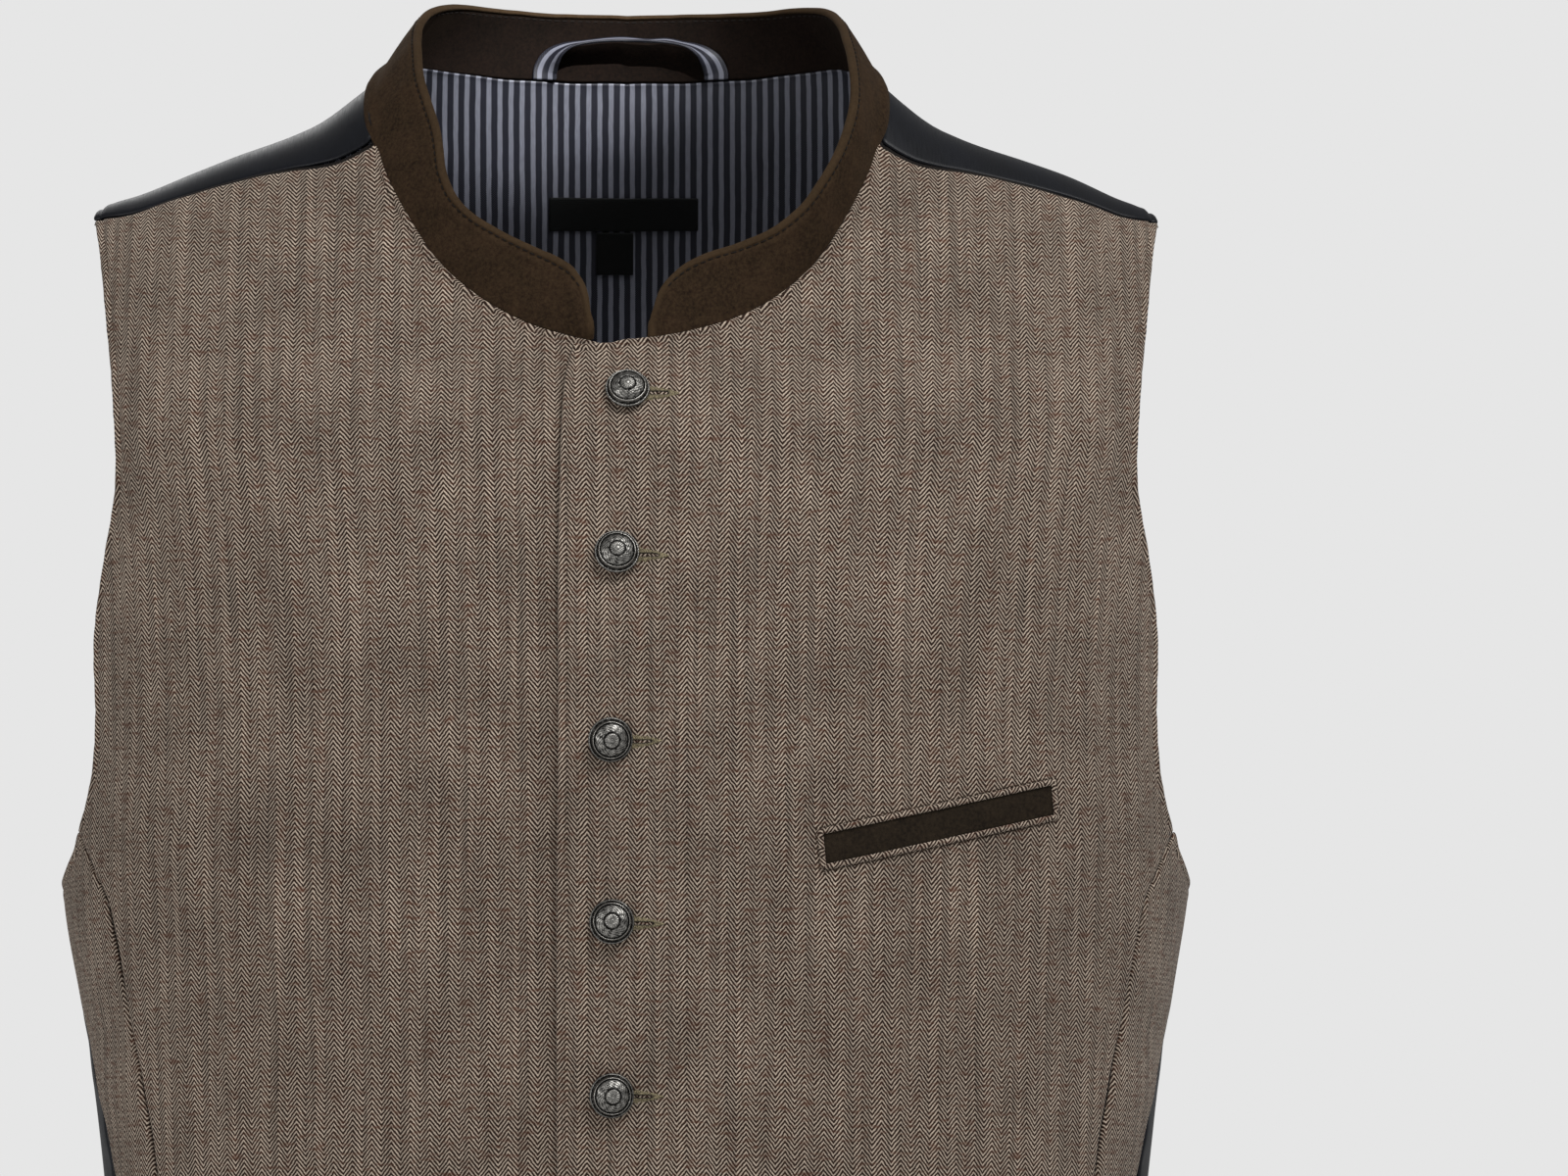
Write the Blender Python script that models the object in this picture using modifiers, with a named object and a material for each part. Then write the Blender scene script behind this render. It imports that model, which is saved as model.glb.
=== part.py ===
"""Trachten vest, filled out as it is worn, with no wearer.

Row frame: +X is the wearer's left, -Y the front, +Z up. The origin lies between the two points where
the shoulders meet the neck. Sizes in the tables are millimetres and become metres in `form`.

Every panel is a piece of one surface, the form. A place on the form has two coordinates:
lateral, which is 0 at the centre front, 1 at the side and 2 at the centre back, and
rise, which is the height up to SHOULDER_BASE and from there goes on over the shoulder.
"""

import math

import bpy
import numpy as np
from mathutils import Vector
from mathutils.bvhtree import BVHTree

MM = 0.001

# Cloth, in metres.
FRONT_CLOTH = 1.8 * MM
BACK_CLOTH = 1.5 * MM
LINING_CLOTH = 1.0 * MM
SUEDE = 1.3 * MM
RIBBON = 1.0 * MM
SEAM_GAP = 0.3 * MM
LAYER_GAP = 0.5 * MM  # between a piece and the layer behind it
LAID_GAP = 0.5 * MM  # between a panel and what is sewn flat on it
LABEL_GAP = 0.7 * MM  # the same, over the lining's flat facets
EDGE_STRIP = 2.0 * MM  # narrow outermost row of each panel, which keeps its edge square to the form

# The form's level sections. Each is a superellipse, from the hem up.
SECTIONS = np.array((
    # height, half width, front depth, back depth
    (-580, 194.0, 111, 102),
    (-510, 189.0, 108, 95),
    (-440, 187.5, 107, 91),
    (-398, 190.5, 109, 93),
    (-360, 195.4, 112, 97),
    (-330, 200.0, 114, 101),
    (-291, 206.0, 116, 105),
    (-240, 206.0, 118, 109),
    (-190, 206.0, 114, 111),
    (-150, 206.0, 104, 109),
    (-120, 206.0, 92, 104),
    (-97, 206.0, 80, 97),
    (-60, 206.0, 69, 84),
    (-30, 206.0, 62, 72),
    (0, 206.0, 57, 62),
    (30, 206.0, 53, 56),
), float)
SECTION_POWER = 2.3
SECTION_ASPECT = 0.56

# Above this height the form closes over the shoulder in an arch.
SHOULDER_BASE = -130.0
ARCH_LENGTH = 156.0
ARCH_POWER = 2.2
RIDGE_DEPTH = 2.0
RIDGE = np.array((
    # distance from the centre, height of the shoulder's ridge
    (0, 110.0),
    (50, 62.0),
    (80, 25.0),
    (93.7, 4.9),
    (102.7, -3.0),
    (113.6, -11.0),
    (123.0, -15.2),
    (146.4, -23.6),
    (161.6, -29.5),
    (178.6, -36.8),
    (191.3, -41.8),
    (196.5, -45.4),
    (206, -54.0),
), float)

HEM = -580.0

# Outlines, as seen from the front: distance from the centre, height, and the face of the form.
NECK_BACK = (
    (0, 9.6, "back"),
    (28, 10.0, "back"),
    (52, 11.2, "back"),
    (73, 13.2, "back"),
    (84, 12.4, "back"),
    (90.5, 8.8, "back"),
    (94.0, -3.0, "over"),
    (93.4, -11.0, "over"),
    (91.3, -19.5, "over"),
)
NECK_FRONT = (
    (91.3, -19.5, "front"),
    (88.0, -30.5, "front"),
    (83.0, -41.3, "front"),
    (76.3, -53.3, "front"),
    (67.0, -66.8, "front"),
    (54.5, -78.0, "front"),
    (38.5, -87.5, "front"),
    (23.4, -92.6, "front"),
)
SHOULDER_SEAM = (
    (91.3, -19.5),
    (97.4, -24.2),
    (104.0, -27.4),
    (113.8, -29.4),
    (128.5, -31.2),
    (142.4, -34.2),
    (156.4, -38.0),
    (171.8, -42.4),
    (187.6, -46.2),
    (195.9, -47.4),
)
ARMHOLE_FRONT = (
    (197.2, -271.5, "front"),
    (193.2, -254.0, "front"),
    (191.3, -232.0, "front"),
    (192.0, -200.0, "front"),
    (188.5, -172.0, "front"),
    (184.9, -148.0, "front"),
    (185.6, -115.0, "front"),
    (190.0, -80.0, "front"),
    (195.9, -47.4, "front"),
)
ARMHOLE_UNDER = (
    (197.2, -271.5, "front"),
    (200.0, -277.0, "front"),
    (203.6, -284.5, "front"),
    (206.0, -291.0, "front"),
)
ARMHOLE_BACK = (
    (206.0, -291.0, "back"),
    (205.1, -286.5, "back"),
    (201.7, -277.0, "back"),
    (194.7, -260.0, "back"),
    (189.5, -238.0, "back"),
    (184.5, -205.0, "back"),
    (181.0, -165.0, "back"),
    (181.5, -125.0, "back"),
    (186.0, -90.0, "back"),
    (192.0, -60.0, "back"),
    (195.9, -47.4, "over"),
)
SIDE_FRONT_SEAM = np.array((
    # height, share of the section's half width
    (-580, 0.858),
    (-510, 0.864),
    (-440, 0.873),
    (-383, 0.8850),
    (-361, 0.8905),
    (-331, 0.8990),
    (-310, 0.9010),
    (-294, 0.9090),
    (-284, 0.9280),
    (-271.5, 0.9573),
), float)
SIDE_SEAM = np.array((
    # height, distance in front of the form's side
    (-580, 38.0),
    (-510, 37.0),
    (-440, 35.0),
    (-398, 33.0),
    (-371, 29.0),
    (-352, 21.0),
    (-338, 10.0),
    (-320, 3.0),
    (-291, 0.0),
), float)

# The two fronts differ at the centre, where the left laps over the right.
LAP_LIFT = 3.0 * MM
LAP_FULL = 25 * MM
LAP_NONE = 60 * MM
LEFT_FRONT = {
    "edge": (
        (-24.6, HEM),
        (-24.6, -390.0),
        (-24.5, -250.0),
        (-24.0, -150.0),
        (-22.6, -113.0),
        (-19.5, -98.2),
    ),
    "neck_end": ((7.6, -95.6, "front"), (-6.0, -97.6, "front"), (-19.5, -98.2, "front")),
    "collar_end": 7.6,
}
RIGHT_FRONT = {
    "edge": ((-20.0, HEM), (-20.0, -390.0), (-20.0, -250.0), (-20.0, -120.0), (-20.0, -101.5)),
    "neck_end": ((12.7, -95.4, "front"), (-4.0, -99.6, "front"), (-20.0, -101.5, "front")),
    "collar_end": 12.7,
}

# The collar's top edge, by its share of the half neck seam from the centre back.
RIM_LEFT = np.array((
    # share, across, depth, height
    (0.000, 0.0, 49.5, 34.0),
    (0.100, 27.0, 46.5, 34.3),
    (0.200, 51.0, 37.5, 34.6),
    (0.286, 68.0, 22.5, 34.8),
    (0.340, 75.0, 9.0, 32.5),
    (0.393, 79.2, -8.0, 26.0),
    (0.429, 80.4, -19.0, 20.0),
    (0.464, 81.6, -28.5, 14.0),
    (0.500, 82.6, -38.0, 7.0),
    (0.536, 82.8, -46.0, -1.0),
    (0.571, 82.0, -52.5, -9.0),
    (0.607, 80.0, -58.0, -17.0),
    (0.643, 77.5, -62.5, -24.0),
    (0.679, 73.8, -66.0, -31.0),
    (0.714, 68.6, -69.5, -39.0),
    (0.750, 63.2, -72.0, -46.2),
    (0.786, 55.0, -74.0, -53.2),
    (0.857, 40.0, -76.5, -60.5),
    (0.910, 27.0, -77.5, -64.8),
    (0.950, 17.6, -78.0, -70.2),
    (0.980, 11.3, -78.3, -78.0),
    (1.000, 8.0, -78.6, -88.0),
), float)
RIM_RIGHT = np.array((
    # share, across, depth, height
    (0.000, 0.0, 49.5, 34.0),
    (0.100, 27.0, 46.5, 34.4),
    (0.200, 50.0, 36.5, 35.4),
    (0.286, 66.0, 21.0, 35.6),
    (0.340, 73.0, 8.0, 32.5),
    (0.393, 76.8, -8.0, 26.0),
    (0.429, 77.0, -17.5, 20.5),
    (0.464, 76.5, -26.0, 15.0),
    (0.500, 75.8, -34.0, 8.0),
    (0.536, 74.5, -41.0, 1.0),
    (0.571, 72.0, -47.0, -7.0),
    (0.607, 69.3, -52.5, -15.5),
    (0.643, 67.6, -57.5, -24.0),
    (0.679, 66.2, -62.0, -33.5),
    (0.714, 62.3, -66.0, -42.5),
    (0.750, 54.8, -69.6, -50.2),
    (0.786, 46.0, -72.0, -55.6),
    (0.857, 32.5, -75.5, -62.4),
    (0.910, 24.0, -77.0, -66.5),
    (0.950, 18.6, -77.8, -70.6),
    (0.980, 14.6, -78.2, -78.0),
    (1.000, 12.7, -78.5, -88.0),
), float)
COLLAR_BULGE = 0.8 * MM
COLLAR_END_STATIONS = (0.93, 0.955, 0.972, 0.985, 0.993)

# Things that lie on a panel: distances from the centre and heights of their edges.
LABEL = {"across": (-29.5, 26.7), "height": (-43.3, -31.8), "columns": 6, "rows": 2}
SIZE_TAG = {"across": (-11.6, 2.1), "height": (-59.5, -44.2), "columns": 3, "rows": 3}
WELT_CORNERS = ((68.5, -271.0), (150.5, -253.8), (151.5, -264.8), (69.6, -282.0))
WELT_COLUMNS = 6

# Hanger loop: the ribbon's middle line, and the way its width lies.
LOOP_WIDTH = 8.0 * MM
LOOP_LINE = np.array((
    # across, distance in front of the collar, height, tilt of the width out of the collar's plane
    (-31.0, 2.0, 8.5, 0),
    (-30.8, 2.4, 13.0, 8),
    (-29.2, 4.2, 17.0, 30),
    (-25.6, 6.0, 20.4, 52),
    (-19.5, 7.0, 22.6, 64),
    (-8.0, 7.4, 23.8, 66),
    (8.0, 7.4, 23.8, 66),
    (20.5, 7.0, 22.6, 64),
    (27.2, 6.0, 20.2, 52),
    (31.2, 4.2, 16.6, 30),
    (33.0, 2.4, 12.5, 8),
    (33.2, 2.0, 8.5, 0),
), float)

# Buttons: a shank button of 16 mm, whose stem passes the buttonhole.
BUTTON_PLACES = (
    # across, height
    (0.0, -115.9),
    (-3.8, -173.5),
    (-6.2, -237.9),
    (-5.4, -301.9),
    (-5.7, -362.4),
    (-5.7, -425.0),
    (-5.7, -487.5),
)
BUTTON_STAND = 1.2 * MM
STEM_RADIUS = 1.6 * MM
BUTTON_PROFILE = (
    # radius, height over the button's back
    (0.0, 5.0),
    (2.7, 4.8),
    (3.2, 4.3),
    (5.4, 3.5),
    (6.5, 2.2),
    (7.4, 1.7),
    (7.9, 1.1),
    (7.8, 0.4),
    (6.6, 0.0),
)
BUTTON_STEPS = 16
BUTTONHOLE_REACH = 16 * MM
BUTTONHOLE_ROUND = 2.0 * MM

# Rows and columns of the panel grids.
ROWS_BELOW_ARMHOLE = 8
MIDDLE_ROWS = (0.24, 0.45, 0.62, 0.75, 0.85, 0.93, 1)  # from the armhole's foot to the neck's corner
NECK_ROW = 1 + ROWS_BELOW_ARMHOLE + len(MIDDLE_ROWS)  # the row at the neck's corner
ROWS_ALONG_NECK = 8
PANEL_COLUMNS = (0.22, 0.36, 0.50, 0.62, 0.73, 0.83, 0.92)
SIDE_COLUMNS = (0.33, 0.67)
ARMHOLE_BREAK = 0.5  # share of the armhole beside the rows below the neck's corner

COLOURS = {
    # base colour, roughness, metallic
    "tweed": ((0.17, 0.13, 0.10), 0.9, 0.0),
    "satin": ((0.016, 0.017, 0.020), 0.4, 0.0),
    "striped_lining": ((0.10, 0.10, 0.12), 0.5, 0.0),
    "suede": ((0.042, 0.026, 0.017), 0.95, 0.0),
    "suede_inner": ((0.024, 0.014, 0.010), 0.95, 0.0),
    "label": ((0.006, 0.006, 0.007), 0.6, 0.0),
    "antique_silver": ((0.20, 0.20, 0.19), 0.38, 1.0),
}


def smooth(table, at):
    """Cubic through a table's rows, whose first column rises; held at the two end rows."""
    start, values = table[:, 0], table[:, 1:]
    slopes = np.gradient(values, start, axis=0)
    at = np.clip(np.asarray(at, float), start[0], start[-1])
    row = np.clip(np.searchsorted(start, at) - 1, 0, len(start) - 2)
    step = (start[row + 1] - start[row])[..., None]
    t = (at - start[row])[..., None] / step
    return (
        (2 * t**3 - 3 * t**2 + 1) * values[row]
        + (t**3 - 2 * t**2 + t) * step * slopes[row]
        + (3 * t**2 - 2 * t**3) * values[row + 1]
        + (t**3 - t**2) * step * slopes[row + 1]
    )


def quarter_section():
    """Share of arc length, of half width and of depth along a quarter of the superellipse."""
    angle = np.linspace(0, math.pi / 2, 1201)
    across = np.sin(angle) ** (2 / SECTION_POWER)
    out = np.clip(np.cos(angle), 0, 1) ** (2 / SECTION_POWER)
    arc = np.concatenate([[0], np.cumsum(np.hypot(np.diff(across), SECTION_ASPECT * np.diff(out)))])
    return arc / arc[-1], across, out


ARC, ACROSS, OUT = quarter_section()


def form(lateral, rise):
    """Points of the form, in metres, for arrays of its two coordinates."""
    lateral, rise = np.broadcast_arrays(np.asarray(lateral, float), np.asarray(rise, float))
    quarter = 1 - np.abs(1 - np.abs(lateral))
    level = np.minimum(rise, SHOULDER_BASE)
    half_width = smooth(SECTIONS, level)[..., 0]
    across = half_width * np.interp(quarter, ARC, ACROSS)
    turn = np.clip((rise - SHOULDER_BASE) / ARCH_LENGTH, 0, 2) * math.pi / 2
    ridge = smooth(RIDGE, across)[..., 0]
    height = level + (ridge - SHOULDER_BASE) * np.sin(turn) ** (2 / ARCH_POWER)
    front = (np.abs(lateral) < 1) != (turn > math.pi / 2)
    depths = smooth(SECTIONS, height)
    depth = np.where(front, -depths[..., 1], depths[..., 2]) * np.interp(quarter, ARC, OUT)
    closing = np.abs(np.cos(turn)) ** (2 / ARCH_POWER)
    side = np.sign(lateral) * across
    return np.stack([side, RIDGE_DEPTH + (depth - RIDGE_DEPTH) * closing, height], -1) * MM


def outward(lateral, rise):
    """Unit normals of the form, pointing out of the figure."""
    small = 0.002
    along = form(lateral + small, rise) - form(lateral - small, rise)
    up = form(lateral, rise + 0.5) - form(lateral, rise - 0.5)
    normal = np.cross(along, up)
    return normal / np.linalg.norm(normal, axis=-1, keepdims=True)


def place(across, height, face):
    """The form's coordinates of the point that is seen from the front at this place."""
    half_width = smooth(SECTIONS, min(height, SHOULDER_BASE))[0]
    quarter = float(np.interp(abs(across) / half_width, ACROSS, ARC)) * (-1 if across < 0 else 1)
    lateral = quarter if face == "front" else 2 - quarter
    if height <= SHOULDER_BASE:
        return lateral, height
    ridge = smooth(RIDGE, abs(across))[0]
    share = min((height - SHOULDER_BASE) / (ridge - SHOULDER_BASE), 1)
    quarter_turns = math.asin(share ** (ARCH_POWER / 2)) / (math.pi / 2)
    return lateral, SHOULDER_BASE + ARCH_LENGTH * (2 - quarter_turns if face == "over" else quarter_turns)


def places(rows, face=None):
    """The form's coordinates of a table of places."""
    return np.array([place(*row[:2], face or row[2]) for row in rows])


def lengths_along(points):
    """Distance along a line of points, from 0 at its first."""
    return np.concatenate([[0], np.cumsum(np.linalg.norm(np.diff(points, axis=0), axis=1))])


def outline(knots, shares):
    """A smooth line through knots on the form, sampled at shares of its real length."""
    chords = lengths_along(form(*knots.T))
    dense = smooth(np.column_stack([chords, knots]), np.linspace(0, chords[-1], 600))
    length = lengths_along(form(*dense.T))
    return np.column_stack([np.interp(shares * length[-1], length, column) for column in dense.T])


def level_line(lateral_at, low, high, shares):
    """A line up the form, whose lateral place is a function of height."""
    height = low + (high - low) * shares
    return np.column_stack([lateral_at(height), height])


def side_front_lateral(height):
    return np.interp(smooth(SIDE_FRONT_SEAM, height)[..., 0], ACROSS, ARC)


def side_seam_lateral(height):
    share = smooth(SIDE_SEAM, height)[..., 0] / smooth(SECTIONS, height)[..., 1]
    return np.interp(-share, -OUT, ARC)


def coons(inner, outer, low, high, columns, rows):
    """Coordinates inside four outlines that meet at the corners: a Coons patch, rows by columns."""
    u, v = columns[None, :, None], rows[:, None, None]
    between_sides = (1 - u) * inner[:, None] + u * outer[:, None]
    between_ends = (1 - v) * low[None] + v * high[None]
    corners = (1 - v) * ((1 - u) * inner[0] + u * outer[0]) + v * ((1 - u) * inner[-1] + u * outer[-1])
    return between_sides + between_ends - corners


def with_strips(shares, length):
    """Shares from 0 to 1 with a narrow strip at each end."""
    strip = EDGE_STRIP / length
    return np.array([0, strip, *shares, 1 - strip, 1])


def column_shares():
    return with_strips(PANEL_COLUMNS, 0.24)


def lower_shares():
    """Rows from the hem to the armhole, with a strip at the hem."""
    return np.array([0, EDGE_STRIP / 0.3, *np.linspace(0, 1, ROWS_BELOW_ARMHOLE + 1)[1:]])


def middle_shares():
    """Rows from the armhole's foot to the corner of the neck."""
    return np.array(MIDDLE_ROWS)


def upper_shares():
    """Rows along the neck, with a strip at the shoulder seam."""
    shares = np.linspace(0, 1, ROWS_ALONG_NECK + 1)
    return np.array([*shares[:-1], 1 - EDGE_STRIP / 0.15, 1])


def row_weights(inner):
    """How far up the panel each row lies, from the length of its inner outline."""
    length = lengths_along(form(*inner.T))
    return length / length[-1]


def hem_line(first, last, columns):
    """The hem, level all round."""
    return np.column_stack([first + (last - first) * columns, np.full(len(columns), HEM)])


def joined(knots, start):
    """The knots of an outline, the first of them moved to the end of the line that it goes on from."""
    return np.concatenate([start[None], knots[1:]])


def armhole_shares():
    """Rows along a panel's stretch of armhole: those below the neck's corner, then those beside it."""
    below = np.linspace(0, ARMHOLE_BREAK, len(MIDDLE_ROWS) + 1)[1:]
    return np.concatenate([below, ARMHOLE_BREAK + (1 - ARMHOLE_BREAK) * upper_shares()[1:]])


def panel(edge, neck, seam, armhole_knots, shoulder_face):
    """Coordinates of a panel, between its edge and neck seam and its side seam and armhole."""
    columns = column_shares()
    armhole = outline(joined(armhole_knots, seam[-1]), armhole_shares())
    inner = np.concatenate([edge, neck[1:]])
    outer = np.concatenate([seam, armhole])
    hem = hem_line(inner[0, 0], outer[0, 0], columns)
    shoulder = outline(places(SHOULDER_SEAM, shoulder_face), columns)
    return coons(inner, outer, hem, shoulder, columns, row_weights(inner))


def front_grid(front):
    """Coordinates of a front's grid, from its edge to the side-front seam."""
    foot = ARMHOLE_FRONT[0][1]
    knots = places(front["edge"], "front")
    dense = outline(knots, np.linspace(0, 1, 600))
    below = HEM + (foot - HEM) * lower_shares()
    levels = np.concatenate([below, foot + (knots[-1, 1] - foot) * middle_shares()])
    edge = np.column_stack([np.interp(levels, dense[:, 1], dense[:, 0]), levels])
    neck = outline(places((*NECK_FRONT, *front["neck_end"]))[::-1], upper_shares())
    seam = level_line(side_front_lateral, HEM, foot, lower_shares())
    return panel(edge, neck, seam, places(ARMHOLE_FRONT), "front")


def back_grid():
    """Coordinates of the back's left half, from the centre back to the side seam."""
    underarm = ARMHOLE_UNDER[-1][1]
    neck = outline(places(NECK_BACK), upper_shares())
    above = outline(np.array(((2.0, underarm), (2.0, SHOULDER_BASE), neck[0])), middle_shares())
    below = np.column_stack([np.full(len(lower_shares()), 2.0), HEM + (underarm - HEM) * lower_shares()])
    seam = level_line(side_seam_lateral, HEM, underarm, lower_shares())
    return panel(np.concatenate([below, above]), neck, seam, places(ARMHOLE_BACK), "over")


def side_grid():
    """Coordinates of a side panel, from the side-front seam to the side seam."""
    columns, low = with_strips(SIDE_COLUMNS, 0.045), lower_shares()
    inner = level_line(side_front_lateral, HEM, ARMHOLE_UNDER[0][1], low)
    outer = level_line(side_seam_lateral, HEM, ARMHOLE_UNDER[-1][1], low)
    hem = hem_line(inner[0, 0], outer[0, 0], columns)
    top = outline(joined(places(ARMHOLE_UNDER), inner[-1]), columns)
    return coons(inner, outer, hem, top, columns, low)


def drawn_in(points, edges):
    """The grid with its seam edges drawn in by half the seam gap. Edges: first/last of rows/columns."""
    points = points.copy()
    for axis, edge in edges:
        row = np.moveaxis(points, axis, 0)
        step = row[1] - row[0] if edge == 0 else row[-2] - row[-1]
        row[edge] += step / np.linalg.norm(step, axis=-1, keepdims=True) * SEAM_GAP / 2
    return points


def lapped(points, normals):
    """The left front, lifted at the centre, where it lies over the right front."""
    t = np.clip((LAP_NONE - points[..., 0]) / (LAP_NONE - LAP_FULL), 0, 1)
    return points + normals * (LAP_LIFT * t * t * (3 - 2 * t))[..., None]


def grid_faces(rows, columns):
    """Quads of a grid whose normals point out when columns go left and rows go up."""
    corner = np.arange(rows * columns).reshape(rows, columns)
    quads = [corner[:-1, :-1], corner[:-1, 1:], corner[1:, 1:], corner[1:, :-1]]
    return np.stack(quads, -1).reshape(-1, 4)


def add_object(name, points, faces, finish):
    mesh = bpy.data.meshes.new(name)
    mesh.from_pydata([tuple(p) for p in points], [], [tuple(f) for f in faces])
    mesh.shade_smooth()
    mesh.materials.append(material(finish))
    piece = bpy.data.objects.new(name, mesh)
    PIECES.objects.link(piece)
    return piece


def cloth(name, grid, thickness, finish, mirrored=False, flipped=False):
    """A panel: the grid is its outer face, and the wall goes inwards from it."""
    points = grid.reshape(-1, 3) * ((-1, 1, 1) if mirrored else (1, 1, 1))
    faces = grid_faces(*grid.shape[:2])
    if mirrored != flipped:
        faces = faces[:, ::-1]
    piece = add_object(name, points, faces, finish)
    wall = piece.modifiers.new("wall", "SOLIDIFY")
    wall.thickness = thickness
    wall.offset = -1
    return piece


def mirrored_cloth(name, grid, thickness, finish):
    """A panel cut on the fold at the centre back: half the grid, mirrored, then given its wall."""
    piece = add_object(name, grid.reshape(-1, 3), grid_faces(*grid.shape[:2]), finish)
    fold = piece.modifiers.new("fold", "MIRROR")
    fold.merge_threshold = 0.0001
    wall = piece.modifiers.new("wall", "SOLIDIFY")
    wall.thickness = thickness
    wall.offset = -1
    return piece


def material(finish):
    if finish in bpy.data.materials:
        return bpy.data.materials[finish]
    colour, roughness, metallic = COLOURS[finish]
    made = bpy.data.materials.new(finish)
    made.use_nodes = True
    shader = made.node_tree.nodes["Principled BSDF"]
    shader.inputs["Base Color"].default_value = (*colour, 1)
    shader.inputs["Roughness"].default_value = roughness
    shader.inputs["Metallic"].default_value = metallic
    return made


def add_fronts():
    """Both fronts. Returns their neck seams, as points from the shoulder seam to the collar's end."""
    necks = {}
    for name, front, mirrored in (("front_left", LEFT_FRONT, False), ("front_right", RIGHT_FRONT, True)):
        coordinates = front_grid(front)
        points = form(coordinates[..., 0], coordinates[..., 1])
        if not mirrored:
            points = lapped(points, outward(coordinates[..., 0], coordinates[..., 1]))
        neck = points[NECK_ROW:, 0][::-1]
        seam_rows = 2 + ROWS_BELOW_ARMHOLE
        drawn = drawn_in(points, ((0, -1),))
        drawn[:seam_rows] = drawn_in(points[:seam_rows], ((1, -1),))
        cloth(name, drawn, FRONT_CLOTH, "tweed", mirrored)
        stop = np.interp(-front["collar_end"] * MM, -neck[:, 0], lengths_along(neck))
        necks[name] = (neck, stop)
    return necks


def add_sides():
    coordinates = side_grid()
    points = form(coordinates[..., 0], coordinates[..., 1])
    for name, mirrored in (("side_left", False), ("side_right", True)):
        cloth(name, drawn_in(points, ((1, 0), (1, -1))), FRONT_CLOTH, "tweed", mirrored)


def add_back():
    """The back and its lining. Returns half the neck seam, from the centre back, and the lining's faces."""
    coordinates = back_grid()[:, ::-1]
    lateral, rise = coordinates[..., 0], coordinates[..., 1]
    points = form(lateral, rise)
    points[:NECK_ROW + 1, -1, 0] = 0
    normals = outward(lateral, rise)
    seam_rows = 2 + ROWS_BELOW_ARMHOLE
    for name, depth, thickness, finish in (
        ("back", 0, BACK_CLOTH, "satin"),
        ("lining_back", BACK_CLOTH + LAYER_GAP, LINING_CLOTH, "striped_lining"),
    ):
        layer = points - normals * depth
        layer[:NECK_ROW + 1, -1, 0] = 0
        drawn = drawn_in(layer, ((0, -1),))
        drawn[:seam_rows] = drawn_in(layer[:seam_rows], ((1, 0),))
        mirrored_cloth(name, drawn, thickness, finish)
    lining = bpy.data.objects["lining_back"]
    bpy.context.view_layer.update()
    lining_face = BVHTree.FromObject(lining, bpy.context.evaluated_depsgraph_get())
    return points[NECK_ROW:, -1], lining_face


def collar_half(neck, stop, back_neck, rim_table):
    """Base and rim of half the collar, from the centre back to its front end."""
    seam = np.concatenate([back_neck, neck[1:]])
    length = lengths_along(seam)
    end = length[len(back_neck) - 1] + stop
    end_stations = end * np.array((*COLLAR_END_STATIONS, 1))
    stations = np.concatenate([length[length < end * 0.9], end_stations])
    base = np.column_stack([np.interp(stations, length, column) for column in seam.T])
    rim = smooth(rim_table, stations / end) * MM
    return base, rim


def add_collar(necks, back_neck):
    """The stand collar's two layers, from the wearer's right end round the back to the left end."""
    base, rim = collar_half(*necks["front_left"], back_neck, RIM_LEFT)
    base_right, rim_right = collar_half(*necks["front_right"], back_neck, RIM_RIGHT)
    turn_over = np.array((-1, 1, 1))
    base = np.concatenate([(base_right * turn_over)[:0:-1], base])[::-1]
    rim = np.concatenate([(rim_right * turn_over)[:0:-1], rim])[::-1]
    stand = rim - base
    base = base + stand / np.linalg.norm(stand, axis=1, keepdims=True) * SEAM_GAP
    shares = np.array((0, 0.12, 0.5, 0.88, 1))[:, None, None]
    points = base[None] * (1 - shares) + rim[None] * shares
    normals = np.cross(np.gradient(points, axis=1), np.gradient(points, axis=0))
    normals /= np.linalg.norm(normals, axis=-1, keepdims=True)
    points = points + normals * COLLAR_BULGE * 4 * shares * (1 - shares)
    cloth("collar", points, SUEDE, "suede")
    cloth("collar_inner", points - normals * (SUEDE + LAYER_GAP), SUEDE, "suede_inner")
    return points - normals * (2 * SUEDE + LAYER_GAP)


def add_labels(lining_face):
    """The neck label and the size tag, on the lining's inner face."""
    for name, spot in (("label", LABEL), ("size_tag", SIZE_TAG)):
        rows = []
        for height in np.linspace(*spot["height"], spot["rows"] + 1):
            hits = [lining_face.ray_cast(Vector((across * MM, 0, height * MM)), Vector((0, 1, 0)))[0]
                    for across in np.linspace(*spot["across"], spot["columns"] + 1)]
            rows.append([hit - Vector((0, LABEL_GAP + RIBBON, 0)) for hit in hits])
        cloth(name, np.array(rows), RIBBON, "label")


def add_welt():
    """The breast pocket's welt, on the left front."""
    top_front, top_side, low_side, low_front = (np.array(corner) for corner in WELT_CORNERS)
    along = np.linspace(0, 1, WELT_COLUMNS + 1)
    low = low_front + (low_side - low_front) * along[:, None]
    top = top_front + (top_side - top_front) * along[:, None]
    lateral, rise = np.moveaxis(np.array([places(low, "front"), places(top, "front")]), -1, 0)
    points = form(lateral, rise) + outward(lateral, rise) * (LAID_GAP + RIBBON)
    cloth("pocket_welt", points, RIBBON, "suede")


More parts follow.
